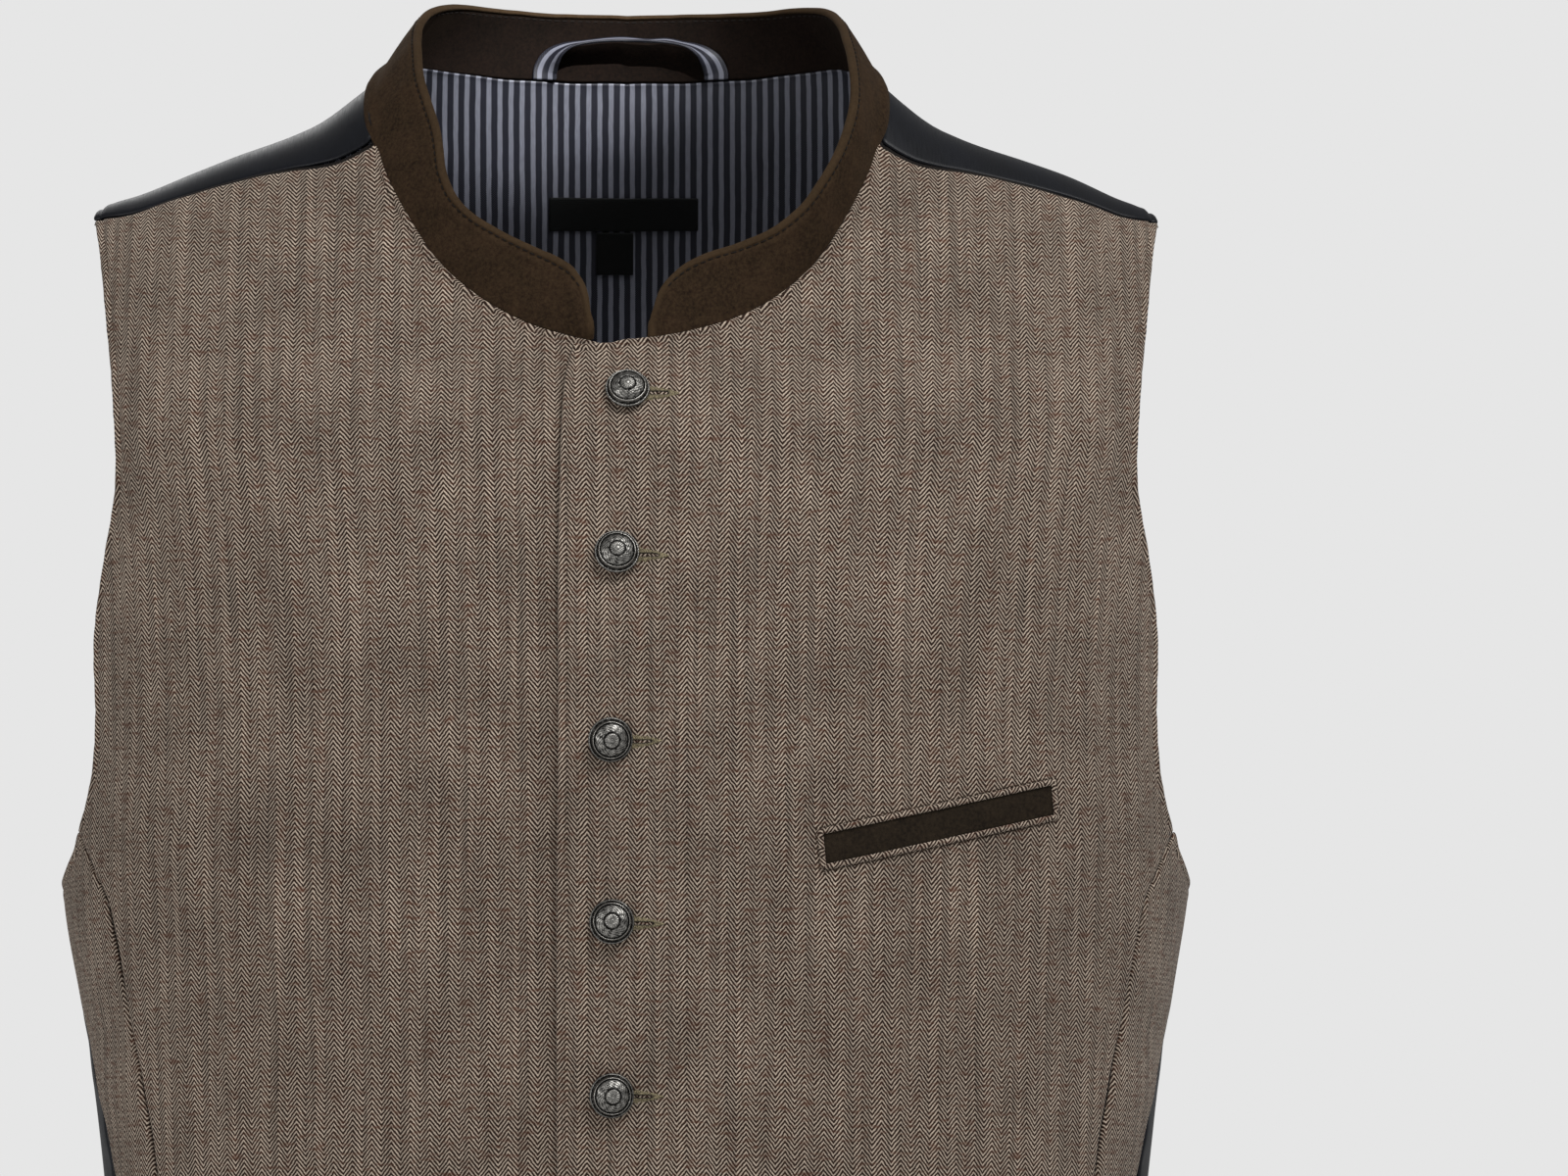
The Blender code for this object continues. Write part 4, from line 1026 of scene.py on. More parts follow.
def back_outlines():
    """The outlines of the back's left half, as lines of the form's coordinates."""
    neck = curve(places(NECK_BACK))
    centre = np.linspace((CENTRE_BACK, HEM), (CENTRE_BACK, neck[0, 1]), 400)
    seam = level_line(side_seam_lateral, HEM, ARMHOLE_UNDER[-1][1])
    armhole = curve(joined(places(ARMHOLE_BACK), seam[-1]))
    shoulder = curve(places(SHOULDER_SEAM, "over"))
    hem = np.linspace(centre[0], seam[0], 300)
    return {"centre": centre, "neck": neck, "seam": seam, "armhole": armhole, "shoulder": shoulder, "hem": hem}


def side_outlines():
    """A side panel's outlines, as lines of the form's coordinates."""
    inner = level_line(side_front_lateral, HEM, ARMHOLE_UNDER[0][1])
    outer = level_line(side_seam_lateral, HEM, ARMHOLE_UNDER[-1][1])
    top = curve(joined(places(ARMHOLE_UNDER, "front"), inner[-1]))
    hem = np.linspace(inner[0], outer[0], 200)
    return {"front_seam": inner, "back_seam": outer, "armhole": top, "hem": hem}


def front_relief(seed, lap):
    """Relief of a front in millimetres: turned edges, seams, puckers, creases, unevenness and the lap.

    Creases and unevenness fade towards the centre front. The lap lifts the front there, and falls to
    nothing between two distances from the centre.
    """

    def relief(across, height, gap, rise):
        edge = turned_edge(gap["edge"], height, EDGE_STITCH)
        neck = turned_edge(gap["neck"], across * 1.2 + height, NECK_STITCH) * 1.25
        armhole = turned_edge(gap["armhole"], height, EDGE_STITCH)
        hem = turned_edge(gap["hem"], across, HEM_STITCH)
        seams = sewn(gap["seam"], 0.7, 1.2) + sewn(gap["shoulder"], 0.45, 1.1)
        pull = pucker(gap["seam"], height / 3.1 + np.sin(height / 23) * 2, 0.16)
        pull += pucker(gap["shoulder"], across / 2.6, 0.15)
        soft = folds(across, height, FRONT_CREASES) + waver(across, height, seed, 0.5)
        near = 0.35 + 0.65 * step_up(across, 0, 40) if lap else step_up(across, 20, 45)
        raised = lap * (1 - step_up(across, LAP_FULL, LAP_NONE))
        return edge + neck + armhole + hem + seams + pull + soft * near + raised

    return relief


def back_relief(creases, seed, size):
    """Relief of the back or of its lining in millimetres, with the form's ridge taken off its centre.

    The form has a slight ridge up the centre of its yoke. Its slope times the difference between a
    hyperbola 15 mm wide and that hyperbola's two lines takes the ridge off.
    """

    def relief(across, height, gap, rise):
        edges = turned_edge(gap["armhole"], height, EDGE_STITCH) + turned_edge(gap["hem"], across, HEM_STITCH)
        seams = sewn(gap["seam"], 0.45, 1.1) + sewn(gap["shoulder"], 0.45, 1.1) + sewn(gap["neck"], 0.3, 1.2)
        pull = pucker(gap["seam"], height / 4.1 + np.sin(height / 31) * 2, 0.3, 5, 6)
        pull += pucker(gap["neck"], across / 3.0, 0.2)
        soft = folds(across, height, creases) + waver(across, height, seed, size)
        slope = np.abs(outward(np.full(np.shape(rise), CENTRE_BACK - 0.005), rise)[..., 0])
        return edges + seams + pull + soft - slope * (np.hypot(across, 15) - np.abs(across))

    return relief


def side_relief(seed):
    """Relief of a side panel in millimetres.

    The groove of its front seam fades near the armhole, and the armhole's turned edge near that seam.
    """

    def relief(across, height, gap, rise):
        edges = turned_edge(gap["armhole"], across, EDGE_STITCH) * step_up(gap["front_seam"], 1, 9)
        edges = edges + turned_edge(gap["hem"], across, HEM_STITCH)
        seams = sewn(gap["front_seam"], 0.9, 1.3) * step_up(gap["armhole"], 1, 14)
        seams = seams + sewn(gap["back_seam"], 0.45, 1.1)
        pull = pucker(gap["front_seam"], height / 3.1 + np.sin(height / 23) * 2, 0.2)
        return edges + seams + pull + folds(across, height, SIDE_CREASES) + waver(across, height, seed, 0.5)

    return relief


def sew(panel, name, thickness, materials, slot, coarse=2.7, tip=0.0):
    """A panel's piece: a wall of cloth on its grid of points.

    The back is cut on the fold: its left half's grid, from the side to the centre, and then the right
    half's. Where a tip is given, the acute corner at the panel's inner top is drawn on along its seam by
    that many millimetres.
    """
    inset = thickness / 2 + SEAM_INSET
    columns, rows = (graded(size, inset, coarse=coarse) for size in (panel.width, panel.height))
    if panel.from_back:
        columns[0] = 0.0
    if panel.corner:
        columns[np.abs(columns - panel.corner).argmin()] = panel.corner
    if panel.from_back:
        columns = np.delete(columns, np.arange(1, 12, 2))
    rows = rows[:, None]
    lateral, rise = panel.coordinates(columns[None], rows)
    drawn = tip * (1 - step_up(columns[None] * panel.width, 1, 8))
    drawn = drawn * step_up((rows - 1) * panel.height, -16, -1)
    lateral, rise = lateral + 0.42 * drawn / 240, rise + 0.9 * drawn
    if panel.from_back:
        lateral[:, 0] = CENTRE_BACK
        lateral = np.concatenate([lateral[:, ::-1], -lateral[:, 1:]], axis=1)
        rise = np.concatenate([rise[:, ::-1], rise[:, 1:]], axis=1)
    quads = grid_quads(*lateral.shape, panel.mirrored)
    uv = grain(lateral, rise, panel.from_back).reshape(-1, 2)
    points = panel.on_form(lateral, rise)
    return add_cloth(name + "_cloth", points, quads, thickness, materials, uv=uv, node=name, slot=slot)


FRONT_PANELS = {}
for name, front, lap, seed in (
    ("front_left", LEFT_FRONT, LAP_LIFT, 11),
    ("front_right", RIGHT_FRONT, 0.0, 29),
):
    panel = Panel(
        front_outlines(front), (("edge",), ("seam", "armhole"), ("hem",), ("neck", "shoulder")),
        front_relief(seed, lap), mirrored=name == "front_right",
    )
    panel.corner = panel.share("neck", "shoulder")
    FRONT_PANELS[name] = panel
    piece = sew(panel, name, FRONT_CLOTH, [TWEED, LINING], "tweed")

SIDE_PANELS = {}
for name, seed in (("side_left", 5), ("side_right", 8)):
    SIDE_PANELS[name] = Panel(
        side_outlines(), (("front_seam",), ("back_seam",), ("hem",), ("armhole",)),
        side_relief(seed), mirrored=name == "side_right",
    )
    piece = sew(SIDE_PANELS[name], name, FRONT_CLOTH, [TWEED, LINING], "tweed", tip=1.2)


def seam_shade_strips():
    """Dark strips under the side-front, side and shoulder seams, so that no light passes between two panels;
    their dark colour is painted shade along each seam's line.

    Each is a ribbon 2.4 mm wide along its seam and 0.3 mm thick, 0.75 mm under the panels' outer face.
    """
    seams = [(side, part) for side in SIDE_PANELS.values() for part in ("front_seam", "back_seam")]
    seams += [(front, "shoulder") for front in FRONT_PANELS.values()]
    shade_strips = []
    for panel, part in seams:
        lateral, rise = at(even(panel.parts[part]), np.linspace(0.002, 0.998, 180)).T
        base, up = form(lateral, rise), outward(lateral, rise)
        side = unit(np.cross(up, np.gradient(base, axis=0)))
        middle = base + up * (panel.raised(base, rise) - 0.75)[:, None] * MM
        points = middle[None] + side[None] * np.array((-1.2, -0.4, 0.4, 1.2))[:, None, None] * MM
        points = (points * MIRROR if panel.mirrored else points).reshape(-1, 3)
        shade_strips.append(shell(points, grid_quads(4, 180, panel.mirrored), 0.3 * MM, rounds=1))
    # Dark thread colour on the strips: painted shade in the open line of each seam.
    add_mesh("seam_shade_strips", *together(shade_strips), [BROWN_THREAD], slot="tweed")


seam_shade_strips()
BACK_LINES = back_outlines()


def back_panel(relief, layer):
    """The left half of the back or of its lining."""
    sides = (("centre",), ("seam", "armhole"), ("hem",), ("neck", "shoulder"))
    panel = Panel(BACK_LINES, sides, relief, layer, from_back=True, ease=8)
    panel.corner = panel.share("neck", "shoulder")
    return panel


BACK = back_panel(back_relief(BACK_CREASES, 17, 0.9), 0.0)
piece = sew(BACK, "back", BACK_CLOTH, [SATIN], "satin", coarse=4.0)
BACK_LINING = back_panel(back_relief(LINING_CREASES, 23, 0.5), BACK_CLOTH + LAYER_GAP)
piece = sew(BACK_LINING, "lining_back", LINING_CLOTH, [LINING], "striped_lining", coarse=4.0)


# ---------------------------------------------------------------- collar


def plain_front_neck(panel, lap):
    """The neck seam of a front as the collar meets it: the form with the lap, without the relief."""
    found = at(even(panel.parts["neck"]), np.linspace(1, 0, 500))
    points = form(*found.T)
    raised = lap * (1 - step_up(points[:, 0] / MM, LAP_FULL, LAP_NONE))
    return points + outward(*found.T) * raised[:, None] * MM


def collar_half_lines(panel, lap, stop_at, rim_table):
    """Half of the collar's foot and of its rim, from the centre back to the front end.

    The foot follows the neck seams of the back and of the front, to a distance stop_at from the centre.
    """
    neck = plain_front_neck(panel, lap)
    back = form(*at(even(BACK_LINES["neck"]), np.linspace(0, 1, 500)).T)
    seam = np.concatenate([back, neck[1:]])
    length = lengths_along(seam)
    end = length[499] + np.interp(-stop_at * MM, -neck[:, 0], lengths_along(neck))
    stations = np.linspace(0, 1, 500)
    base = np.column_stack([np.interp(stations * end, length, column) for column in seam.T])
    return base, smooth(rim_table, stations) * MM


(base, rim), (base_right, rim_right) = (
    collar_half_lines(FRONT_PANELS[name], lap, front["collar_end"], table)
    for name, lap, front, table in (
        ("front_left", LAP_LIFT, LEFT_FRONT, RIM_LEFT),
        ("front_right", 0.0, RIGHT_FRONT, RIM_RIGHT),
    )
)
COLLAR_BASE = np.concatenate([(base_right * MIRROR)[:0:-1], base])[::-1]
COLLAR_RIM = np.concatenate([(rim_right * MIRROR)[:0:-1], rim])[::-1]
COLLAR_BASE = COLLAR_BASE + unit(COLLAR_RIM - COLLAR_BASE) * 0.3 * MM
COLLAR_STEPS = np.linspace(0, 1, len(COLLAR_BASE))
COLLAR_STAND = np.linalg.norm(COLLAR_RIM - COLLAR_BASE, axis=1) / MM
COLLAR_RIM_LINE = np.concatenate([
    COLLAR_RIM, *(np.linspace(COLLAR_BASE[end], COLLAR_RIM[end], 30) for end in (0, -1))
])


def collar_softness(points):
    """Faint upright folds and slow unevenness of the collar's cloth, in millimetres."""
    angle = np.arctan2(points[..., 0], points[..., 1])
    height = points[..., 2] / MM
    ripples = 0.22 * np.sin(angle * 9 + height / 40) + 0.15 * np.sin(angle * 21 + 1.3)
    ripples = ripples + 0.10 * np.sin(angle * 37 + height / 15)
    return ripples + 0.12 * np.sin(height / 7 + angle * 6)


def collar_face(u, v, depth=0.0):
    """Points and normals of the collar's outer face, or of a layer at a depth in millimetres.

    u is the share round the neck and v the share up the stand.
    """
    u, v = np.broadcast_arrays(u, v)

    def plain(u, v):
        """Points of the straight face between the collar's foot and its rim."""
        low = np.stack([np.interp(u, COLLAR_STEPS, column) for column in COLLAR_BASE.T], -1)
        high = np.stack([np.interp(u, COLLAR_STEPS, column) for column in COLLAR_RIM.T], -1)
        return low * (1 - v[..., None]) + high * v[..., None]

    points = plain(u, v)
    along = plain(np.clip(u + 0.004, 0, 1), v) - plain(np.clip(u - 0.004, 0, 1), v)
    up = plain(u, v + 0.02) - plain(u, v - 0.02)
    normals = unit(np.cross(along, up))
    swell = COLLAR_BULGE * 4 * v * (1 - v)
    soft = collar_softness(points) * MM * np.clip(np.minimum(v, 1 - v) * 6, 0, 1)
    return points + normals * (swell + soft - depth * MM)[..., None], normals


def beside_neck(u):
    """1 beside and behind the shoulder seam's end, 0 round the front of the neck."""
    return step_up(np.interp(u, COLLAR_STEPS, COLLAR_BASE[:, 1]) / MM, -42, -30)


def collar_grid(inset_rim, inset_base, over=0.0):
    """Shares of the collar's grid, kept inside its rim and ends, and inside its base, by these millimetres.

    Beside and behind the neck it goes on over the back's neck edge by a further number.
    """
    u = graded(lengths_along(COLLAR_BASE)[-1] / MM, inset_rim, fine=0.5, coarse=2.2, band=6)
    tall = np.interp(u, COLLAR_STEPS, COLLAR_STAND)
    steps = graded(1000, 0, fine=12, coarse=45, band=140)
    low, high = (inset_base - over * beside_neck(u)) / tall, 1 - inset_rim / tall
    v = low + (high - low) * steps[:, None]
    return np.broadcast_to(u, v.shape), v


def collar_outer():
    """The outer layer: its foot lies on the back's neck edge, and its rim covers the inner layer's too."""
    u, v = collar_grid(1.6, -0.5, over=2.0)
    points, normals = collar_face(u, v)
    points = points + normals * (1.2 * beside_neck(u) * (1 - step_up(v, 0, 0.16)))[..., None] * MM
    gap = away(points, COLLAR_RIM_LINE)
    groove = sewn(gap - COLLAR_STITCH, 0.38, 0.55) + 0.16 * hump(gap - COLLAR_STITCH * 1.8, 0.9)
    points = points + normals * (groove * MM)[..., None]
    wall = SUEDE + (BOTH_COLLARS + 0.1 - SUEDE) * (1 - step_up(gap, 1.75, 2.3))
    # Within about 2 mm of the rim the suede gets a painted highlight, for the light on its rounded edge.
    piece = add_cloth(
        "collar_suede", points, grid_quads(*u.shape), wall.ravel(), [SUEDE_OUTER], rounds=5,
        values={"rim_highlight": 0.9 * hump(gap, 1.9)}, node="collar", slot="suede")


def collar_inner():
    """The inner layer, with the groove of the topstitching on its inner face."""
    u, v = collar_grid(2.3, -0.3)
    points, _ = collar_face(u, v, SUEDE + LAYER_GAP)
    inner_points, _ = collar_face(u, v, BOTH_COLLARS)
    wall = SUEDE - 0.35 * hump(away(inner_points, COLLAR_RIM_LINE) - 3.0, 0.7)
    # Its suede is the darker copy: painted shade for the inside of the neck.
    piece = add_cloth(
        "collar_inner_suede", points, grid_quads(*u.shape), wall.ravel(), [SUEDE_INNER_SHADED], rounds=4,
        node="collar_inner", slot="suede_inner")


def collar_line(distance, depth, side, span):
    """A line a distance below the collar's rim, on its outer face (side 1) or its inner one (side -1)."""
    u = np.linspace(*span, 900)
    points, normals = collar_face(u, 1 - distance / np.interp(u, COLLAR_STEPS, COLLAR_STAND), depth)
    return points, normals * side


# ---------------------------------------------------------------- what lies on the cloth

LEFT = FRONT_PANELS["front_left"]


def tube(path, ups, profile):
    """A closed profile carried round a closed path: points and quads.

    profile holds for each of its points a distance to the side and one up, in millimetres. Side is the
    direction along the path crossed with up.
    """
    side = unit(np.cross(unit(np.roll(path, -1, 0) - np.roll(path, 1, 0)), ups))
    points = path[:, None] + (side[:, None] * profile[None, :, :1] + ups[:, None] * profile[None, :, 1:]) * MM
    quads = ring_quads(len(path), len(profile), closed=True)
    return points.reshape(-1, 3), np.roll(quads[:, ::-1], 1, axis=1)


def welt_place(s, t):
    """Places across and up of the pocket's mouth: s along it from the front, t across it from below."""
    top_front, top_side, low_side, low_front = (np.array(corner) for corner in WELT_CORNERS)
    low = low_front + (low_side - low_front) * s[..., None]
    top = top_front + (top_side - top_front) * s[..., None]
    return low * (1 - t[..., None]) + top * t[..., None]


def welt():
    """The suede welt: a strip laid just above the front, its edges under the border."""
    s, t = np.meshgrid(np.linspace(0.004, 0.996, 100), np.linspace(0.04, 0.96, 18))
    spot = welt_place(s, t)
    sag = 0.1 + 0.12 * np.sin(math.pi * t) + 0.05 * np.sin(s * 17 + t * 3) + 0.04 * np.sin(s * 31)
    points, _ = LEFT.seen(spot[..., 0], spot[..., 1], sag + 0.1)
    piece = add_cloth(
        "pocket_welt_suede", points, grid_quads(*s.shape), 0.9, [SUEDE_WELT], node="pocket_welt", slot="suede")


def welt_outline(beyond, count=700):
    """Places across and up of a rounded rectangle round the welt, a distance in millimetres beyond it."""
    corners = np.array([(0, 0), (1, 0), (1, 1), (0, 1)], float)
    knots = welt_place(corners[:, 0], corners[:, 1])
    lengthwise, upwise = unit(knots[1] - knots[0]), unit(knots[3] - knots[0])
    signs = np.array([(-1, -1), (1, -1), (1, 1), (-1, 1)])
    knots = knots + signs[:, :1] * beyond * lengthwise + signs[:, 1:] * beyond * upwise
    loop = np.concatenate([knots, knots[:1]])
    length = lengths_along(loop)
    run = np.arange(count) / count * length[-1]
    window = np.linspace(-1, 1, 21) * 0.9
    run = (run[:, None] + window) % length[-1]
    return np.stack([np.interp(run, length, column).mean(1) for column in loop.T], -1)


def welt_border():
    """The turned edge of herringbone round the pocket's mouth, a flat rounded roll, and its stitches."""
    path, ups = LEFT.seen(*welt_outline(0.75).T, 0.55)
    turn = np.arange(14) * 2 * math.pi / 14
    profile = np.column_stack([1.05 * np.cos(turn), 0.72 * np.sin(turn)])
    points, faces = tube(path, ups, profile)
    along = np.repeat(lengths_along(path), 14) + 0.35 * np.tile(profile[:, 0], len(path)) * MM
    uv = np.stack([along, np.tile(turn, len(path)) * 0.9 * MM], -1)
    piece = add_mesh("welt_border", points, faces, [TWEED], uv, slot="tweed")
    line = LEFT.seen(*welt_outline(2.3).T)
    stitches("welt_stitches", [line], TWEED_THREAD, "tweed", pitch=2.3, length=1.7, thick=0.36, sink=0.05)


def small_label(name, spot, columns, rows, wave):
    """A ribbon laid on the back's lining, a little proud of it, and slightly wavy."""
    x, z = np.meshgrid(np.linspace(*spot["across"], columns), np.linspace(*spot["height"], rows))
    proud = LINING_CLOTH + 0.45 + wave * (1 + np.sin(x / 7.3 + z / 9) * 0.5 + np.sin(x / 3.1) * 0.2)
    points, _ = BACK_LINING.seen(x, z, -proud)
    piece = add_cloth(
        name + "_ribbon", points, grid_quads(*x.shape), 0.5, [LABEL_RIBBON], rounds=2, node=name, slot="label")


def hanger_loop():
    """The hanger loop: a folded ribbon of lining cloth, carried along its line off the collar."""
    stations = np.linspace(0, 1, 150)
    knots = np.column_stack([np.linspace(0, 1, len(LOOP_LINE)), LOOP_LINE])
    across, off, height, tilt = smooth(knots, stations).T
    bpy.context.view_layer.update()
    collar = bpy.data.objects["collar_inner_suede"]
    collar = BVHTree.FromObject(collar, bpy.context.evaluated_depsgraph_get())
    columns, levels = np.linspace(-34, 36, 15), np.linspace(13, 27, 6)
    back = Vector((0, 1, 0))
    wall = np.array([[collar.ray_cast(Vector((x, 0, z)) * MM, back)[0][1] for z in levels] for x in columns])
    i, j = ((where - table[0]) / (table[1] - table[0]) for where, table in ((across, columns), (height, levels)))
    middle = np.column_stack([across * MM, between(wall, i, j) - off * MM, height * MM])
    along = unit(np.gradient(middle, axis=0))
    angle = np.radians(tilt)[:, None]
    width = unit(np.cross(along, (0, 1, 0))) * np.cos(angle) + np.array((0, 1, 0)) * np.sin(angle)
    run = lengths_along(middle)
    wave = 0.35 * np.sin(run / MM / 3.1 + 1.2 * np.sin(run / MM / 9)) * np.sin(math.pi * stations) ** 2
    share = np.linspace(-0.5, 0.5, 17)[:, None, None]
    cup = 0.5 * (1 - (2 * share) ** 2)
    lift = unit(np.cross(width, along))[None] * (cup + wave[None, :, None] * (share + 0.5)) * MM
    points = middle[None] + width[None] * (share * LOOP_WIDTH * MM) + lift
    uv = np.stack(np.broadcast_arrays((share[..., 0] + 0.5) * 8.2 * MM, run[None]), -1).reshape(-1, 2)
    piece = add_cloth(
        "hanger_loop_ribbon", points, grid_quads(17, 150), 0.9, [LINING], uv=uv,
        node="hanger_loop", slot="striped_lining")


def button_top(radius, angle):
    """Height of the button's face over its back, and how hollow it is, at radii in mm and angles.

    The dome is a table of heights. On it: a daisy of 16 petals out to 2.5 mm round a small boss, a beaded
    groove, scrollwork of two polar waves to 5.7 mm, a groove and a ring at 6.4 mm, a flat dark band,
    and a rope edge of 48 turns.
    """
    dome = smooth(BUTTON_DOME, radius)[..., 0]
    petals = np.abs(np.cos(8 * angle)) ** 0.6 * step_up(radius, 0.7, 1.1) * (1 - step_up(radius, 2.2, 2.6))
    boss = (1 - step_up(radius, 0.45, 0.85)) * 1.1
    beads = hump(radius - 2.85, 0.2) * (0.75 + 0.25 * np.cos(16 * angle))
    scroll_band = step_up(radius, 3.0, 3.3) * (1 - step_up(radius, 5.5, 5.8))
    first = np.cos(11 * angle + 4.4 * (radius - 4.4)) * np.cos(3.5 * (radius - 4.4))
    second = np.cos(19 * angle - 6.6 * (radius - 4.0) + 2 * np.sin(5 * angle))
    scrolls = np.tanh(2.2 * first + 1.5 * second) * scroll_band
    groove = hump(radius - 6.02, 0.17)
    ring = hump(radius - 6.42, 0.24)
    rope = hump(radius - 7.62, 0.2) * (0.75 + 0.25 * np.cos(48 * angle))
    height = dome + 0.20 * petals + 0.16 * boss - 0.34 * beads + 0.08 * scrolls
    height = height - 0.34 * groove + 0.34 * ring + 0.2 * rope
    band = step_up(radius, 6.7, 6.95) * (1 - step_up(radius, 7.3, 7.45))
    shown = 0.6 * petals + 0.6 * boss + 0.3 * (1 + scrolls) * scroll_band + 0.95 * ring + 0.7 * rope
    hollow = np.clip(0.86 - shown + 0.5 * beads + 0.6 * groove + 0.3 * band, 0, 1)
    return height, hollow


BUTTON_DOME = np.array((
    # radius, height over the back
    (0.0, 4.65), (1.0, 4.60), (2.4, 4.35), (3.2, 4.10), (4.4, 3.55), (5.4, 2.85),
    (5.9, 2.40), (6.6, 2.05), (6.85, 1.40), (7.2, 1.15), (7.7, 0.95), (7.95, 0.60),
), float)
BUTTON_RADII = np.concatenate([
    np.linspace(0.12, 2.6, 13), np.linspace(2.75, 3.05, 4), np.linspace(3.25, 5.65, 12),
    np.linspace(5.8, 6.75, 9), np.linspace(6.9, 7.3, 4), np.linspace(7.38, 7.95, 7),
])
BUTTON_TURNS = 192  # points round each ring of the button
BUTTON_STAND = 1.2
BUTTON_BACK = np.array((
    # radius, height over the back, down to the stem's foot
    (7.85, 0.30), (7.4, 0.05), (6.4, 0.0), (1.6, 0.0), (1.6, -BUTTON_STAND - 2.4),
))
BUTTONHOLE_LENGTH = 17.3
BUTTONHOLE_HALF = 3.0
BUTTONHOLE_THREAD = 0.74


def button(number, across, height, lean_left, lean_up, turn):
    """A cast button: its face is a function of radius and angle, closed by its back and its stem."""
    lateral, rise = place(across, height, "front")
    normal = outward(lateral, rise)
    x_axis = unit(np.array((1.0, 0, 0)) - normal * normal[0])
    y_axis = np.cross(normal, x_axis)
    lean_x, lean_y = math.tan(math.radians(lean_left)), math.tan(math.radians(lean_up))
    facing = unit(normal + x_axis * lean_x + y_axis * lean_y)
    x_axis = unit(x_axis - facing * (x_axis @ facing))
    y_axis = np.cross(facing, x_axis)
    stand = BUTTON_STAND + 0.07 * math.hypot(lean_left, lean_up)
    centre = form(lateral, rise) + (normal * LAP_LIFT + facing * stand) * MM
    count = BUTTON_TURNS
    angle = np.arange(count) * 2 * math.pi / count
    radius, around = np.meshgrid(BUTTON_RADII, angle + turn, indexing="ij")
    top, hollow = button_top(radius, around)
    radius = np.concatenate([radius, np.repeat(BUTTON_BACK[:, :1], count, 1)])
    top = np.concatenate([top, np.repeat(BUTTON_BACK[:, 1:], count, 1)])
    local = np.stack([radius * np.cos(angle), radius * np.sin(angle), top], -1).reshape(-1, 3)
    peak, foot = button_top(np.zeros(1), np.zeros(1))[0][0], BUTTON_BACK[-1, 1]
    local = np.concatenate([local, [(0, 0, peak), (0, 0, foot)]]) * MM
    points = centre + local @ np.stack([x_axis, y_axis, facing])
    last, end = (len(radius) - 1) * count, len(radius) * count
    quads = ring_quads(len(radius), count)
    j = np.arange(count)
    beside = (j + 1) % count
    caps = np.column_stack([np.full(count, end), j, beside])
    foot_cap = np.column_stack([np.full(count, end + 1), last + beside, last + j])
    faces = quads.tolist() + caps.tolist() + foot_cap.tolist()
    hollow = np.concatenate([hollow.ravel(), np.full(BUTTON_BACK[:, 0].size * count, 0.8), [0.4, 0.8]])
    add_mesh(
        f"silver_button_{number}", points, faces, [SILVER], values={"hollow": hollow},
        node=f"button_{number}", slot="antique_silver")


def buttonholes():
    """The worked buttonholes: an arrowhead pad of thread beside each button, ridged across and slit.

    At share s along it and t across it, the half width is 0.25 mm plus 3 mm times 1 - s squared. The
    height is a low crown, with a ridge of thread every 0.74 mm, less a bell along the slit, which fades out
    before the point.
    """
    s, t = np.meshgrid(np.linspace(0, 1, 96), np.linspace(-1, 1, 25))
    holes, painted_shades = [], []
    for number, (across, height, *_) in enumerate(BUTTONS):
        bow = 0.35 * math.sin(number * 2.3)
        ragged = 1 + 0.10 * np.sin(s * 61 + number) + 0.07 * np.sin(s * 37 + np.sign(t) * 2 + number * 3)
        off = t * (0.25 + BUTTONHOLE_HALF * (1 - s**2)) * ragged
        x = across + 1.0 + BUTTONHOLE_LENGTH * s
        z = height - 0.6 + off + bow * np.sin(s * math.pi)
        slant = x + 0.55 * np.abs(off)
        ridge = 0.5 + 0.5 * np.sin(
            slant * 2 * math.pi / BUTTONHOLE_THREAD + 0.8 * np.sin(off * 3 + number))
        crown = 0.42 * (1 - np.abs(t) ** 3) + 0.18 * hump(np.abs(off) - 0.75, 0.5)
        slit = hump(off, 0.6) * (1 - step_up(s, 0.7, 0.86))
        lift = crown - 0.16 + 0.16 * ridge * (1 - t**4) - 0.75 * slit
        points, _ = LEFT.seen(x, z, lift)
        hole = shell(points.reshape(-1, 3), grid_quads(*s.shape), 0.5 * MM, rounds=2)
        # Painted shade for the thread: darkest in the slit, then between the ridges of thread and towards the
        # pad's edges.
        shade = np.clip(1.9 * slit + 0.42 * (1 - ridge) + 0.25 * np.abs(t) ** 3, 0, 1)
        holes.append(hole)
        painted_shades.append(shade.ravel()[hole[2]])
    painted_shades = np.concatenate(painted_shades)
    add_mesh("buttonhole_threads", *together(holes), [OLIVE_THREAD], values={"slit": painted_shades}, slot="tweed")


def all_stitches():
    """Topstitching of the fronts and the sides, and of the collar on both its faces."""
    lines = []
    for panel in FRONT_PANELS.values():
        after_seam = panel.share("seam", "armhole") + 0.006
        lines += [panel.line(*row) for row in (
            ("inner", EDGE_STITCH, (0.004, 0.994), "edge"),
            ("high", NECK_STITCH, (0.016, panel.corner - 0.012), "neck"),
            ("outer", EDGE_STITCH, (after_seam, 0.994), "armhole"),
            ("low", HEM_STITCH, (0.018, 0.99), "hem"),
        )]
    for panel in SIDE_PANELS.values():
        lines += [panel.line("high", EDGE_STITCH, (0.06, 0.94)), panel.line("low", HEM_STITCH, (0.04, 0.96))]
    stitches("tweed_stitches", lines, TWEED_THREAD, "tweed", thick=0.34, sink=0.16)
    for name, depth, side, span in (
        ("collar_stitches", 0.0, 1, (0.016, 0.984)),
        ("collar_inner_stitches", BOTH_COLLARS, -1, (0.02, 0.98)),
    ):
        line = collar_line(COLLAR_STITCH, depth, side, span)
        stitches(name, [line], BROWN_THREAD, "suede", pitch=2.9, length=2.2, thick=0.45, sink=0.28)


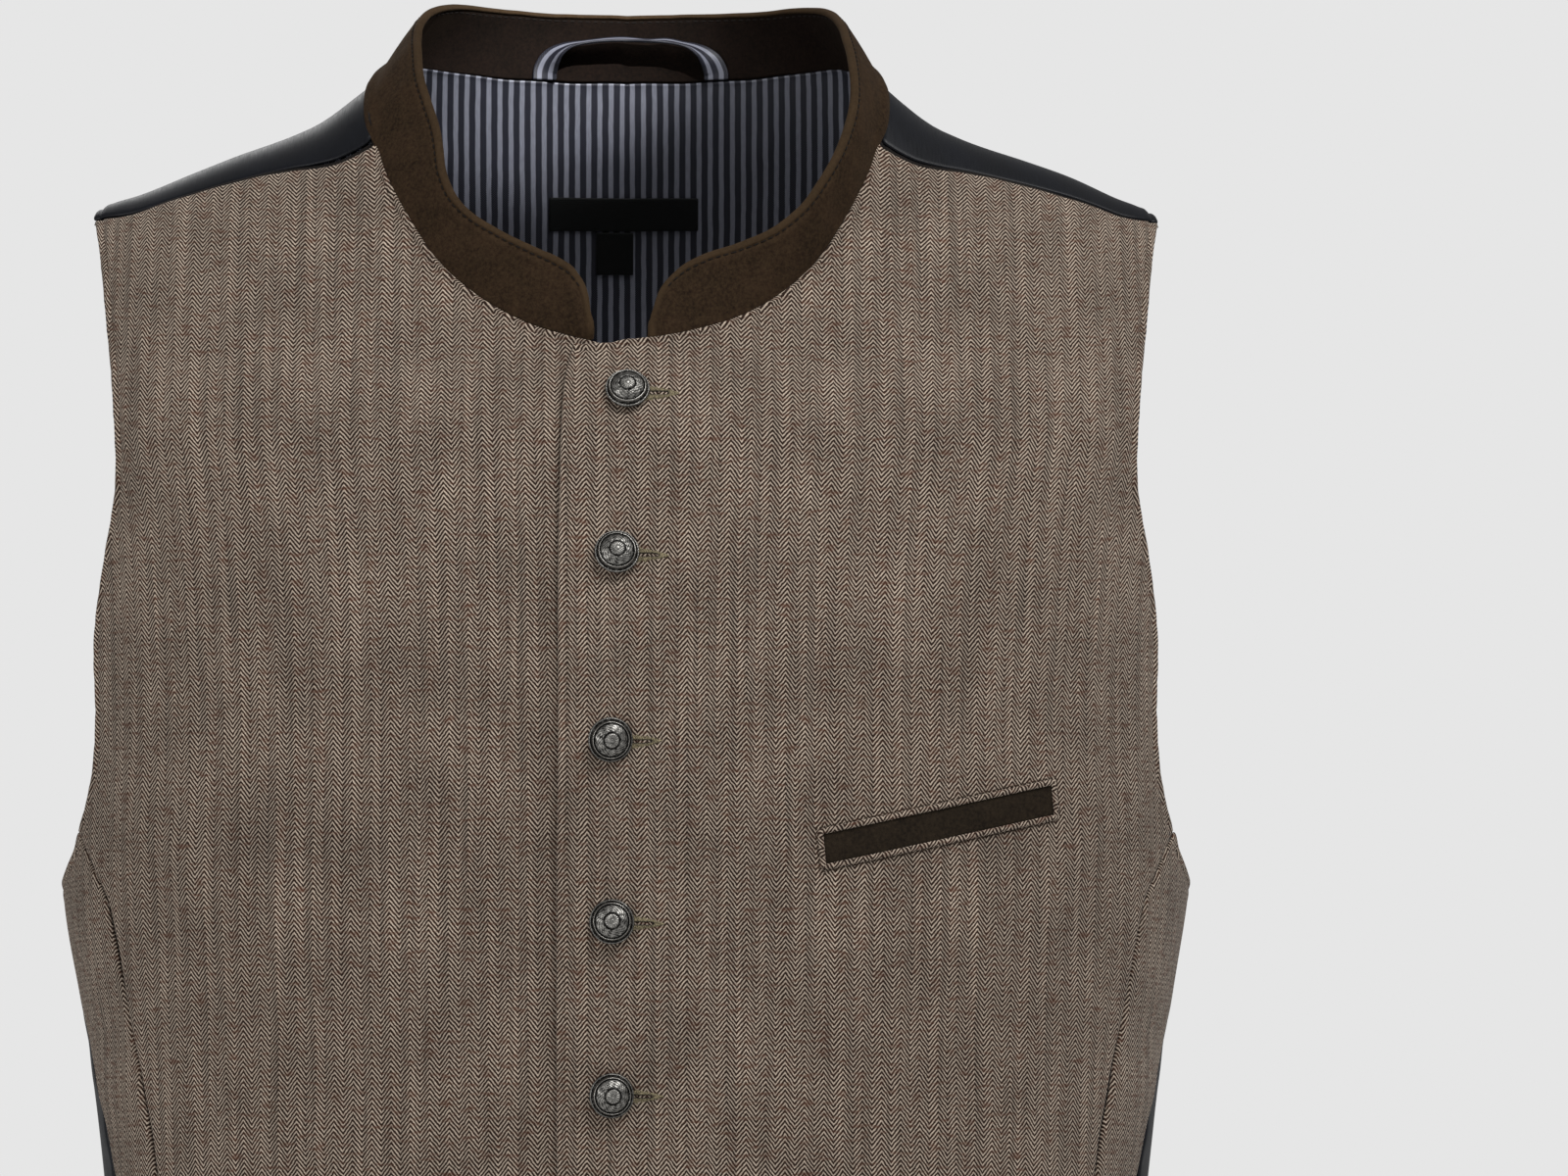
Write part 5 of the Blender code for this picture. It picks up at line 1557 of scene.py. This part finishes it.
collar_outer()
collar_inner()
welt()
welt_border()
small_label("label", LABEL, 90, 16, 0.25)
small_label("size_tag", SIZE_TAG, 24, 22, 0.2)
hanger_loop()
for number, row in enumerate(BUTTONS, 1):
    button(number, *row)
buttonholes()
all_stitches()


# ---------------------------------------------------------------- light, camera, floor

bpy.context.scene.view_settings.view_transform = "Standard"
world = bpy.data.worlds.new("studio")
world.use_nodes = True
bpy.context.scene.world = world
tree = world.node_tree
seen = tree.nodes["Background"]
seen.inputs["Color"].default_value = hexcolour("E6E6E6")
soft = add(tree, "Background", (1, 1, 1, 1), 0.28)
choose = add(tree, "MixShader", add(tree, "LightPath"), soft, seen.outputs[0])
tree.links.new(choose, tree.nodes["World Output"].inputs[0])


def put(name, data, location=(0, 0, 0), aim=None):
    """An object in the scene, turned so that its own -Z looks at the aim."""
    thing = bpy.data.objects.new(name, data)
    thing.location = location
    if aim:
        thing.rotation_euler = (Vector(aim) - thing.location).to_track_quat("-Z", "Y").to_euler()
    bpy.context.scene.collection.objects.link(thing)
    return thing


for name, location, aim, size, watts in (
    ("key", (0.8, -1.64, 2.04), (0, 0, -0.22), 1.1, 54),
    ("side", (1.71, -0.99, 1.73), (0, 0, -0.22), 1.1, 27),
    ("fill", (-2.07, -1.86, 0.04), (0, 0, -0.22), 1.6, 30),
    ("behind", (-0.6, 2.2, 1.4), (0, 0, -0.2), 1.4, 10),
):
    lamp = bpy.data.lights.new(name, "AREA")
    lamp.shape, lamp.size, lamp.energy = "DISK", size, watts
    put(name, lamp, location, aim)

# A narrow beam, wider than tall, lights the lining below the back neck.
beam = bpy.data.lights.new("neck", "SPOT")
beam.energy, beam.spot_size, beam.spot_blend, beam.shadow_soft_size = 400, math.radians(1.9), 1.0, 0.008
put("neck", beam, (0.5, -1.5, 1.0), (-0.03, 0.055, 0.004)).scale = (2.2, 1, 1)

lens = bpy.data.cameras.new("camera")
lens.lens, lens.sensor_width = 162.5, 36
bpy.context.scene.camera = put("camera", lens, (0, -2.6, -0.25), (0.0576, 0, -0.1818))

FLOOR = -0.76
sheet = bpy.data.meshes.new("floor")
corners = [(x, y, FLOOR) for x, y in ((-2.6, -2.2), (2.6, -2.2), (2.6, 2.6), (-2.6, 2.6))]
sheet.from_pydata(corners, [], [(0, 1, 2, 3)])
paper, tree = new_material("studio_paper", Roughness=0.95)
speck = add(tree, "TexNoise", Vector=add(tree, "TexCoord", out=3), Scale=4.0, Detail=3.0)
finish_with(paper, add(tree, "MixRGB", speck, hexcolour("DEDEDE"), hexcolour("E6E6E6")))
sheet.materials.append(paper)
put("floor", sheet)
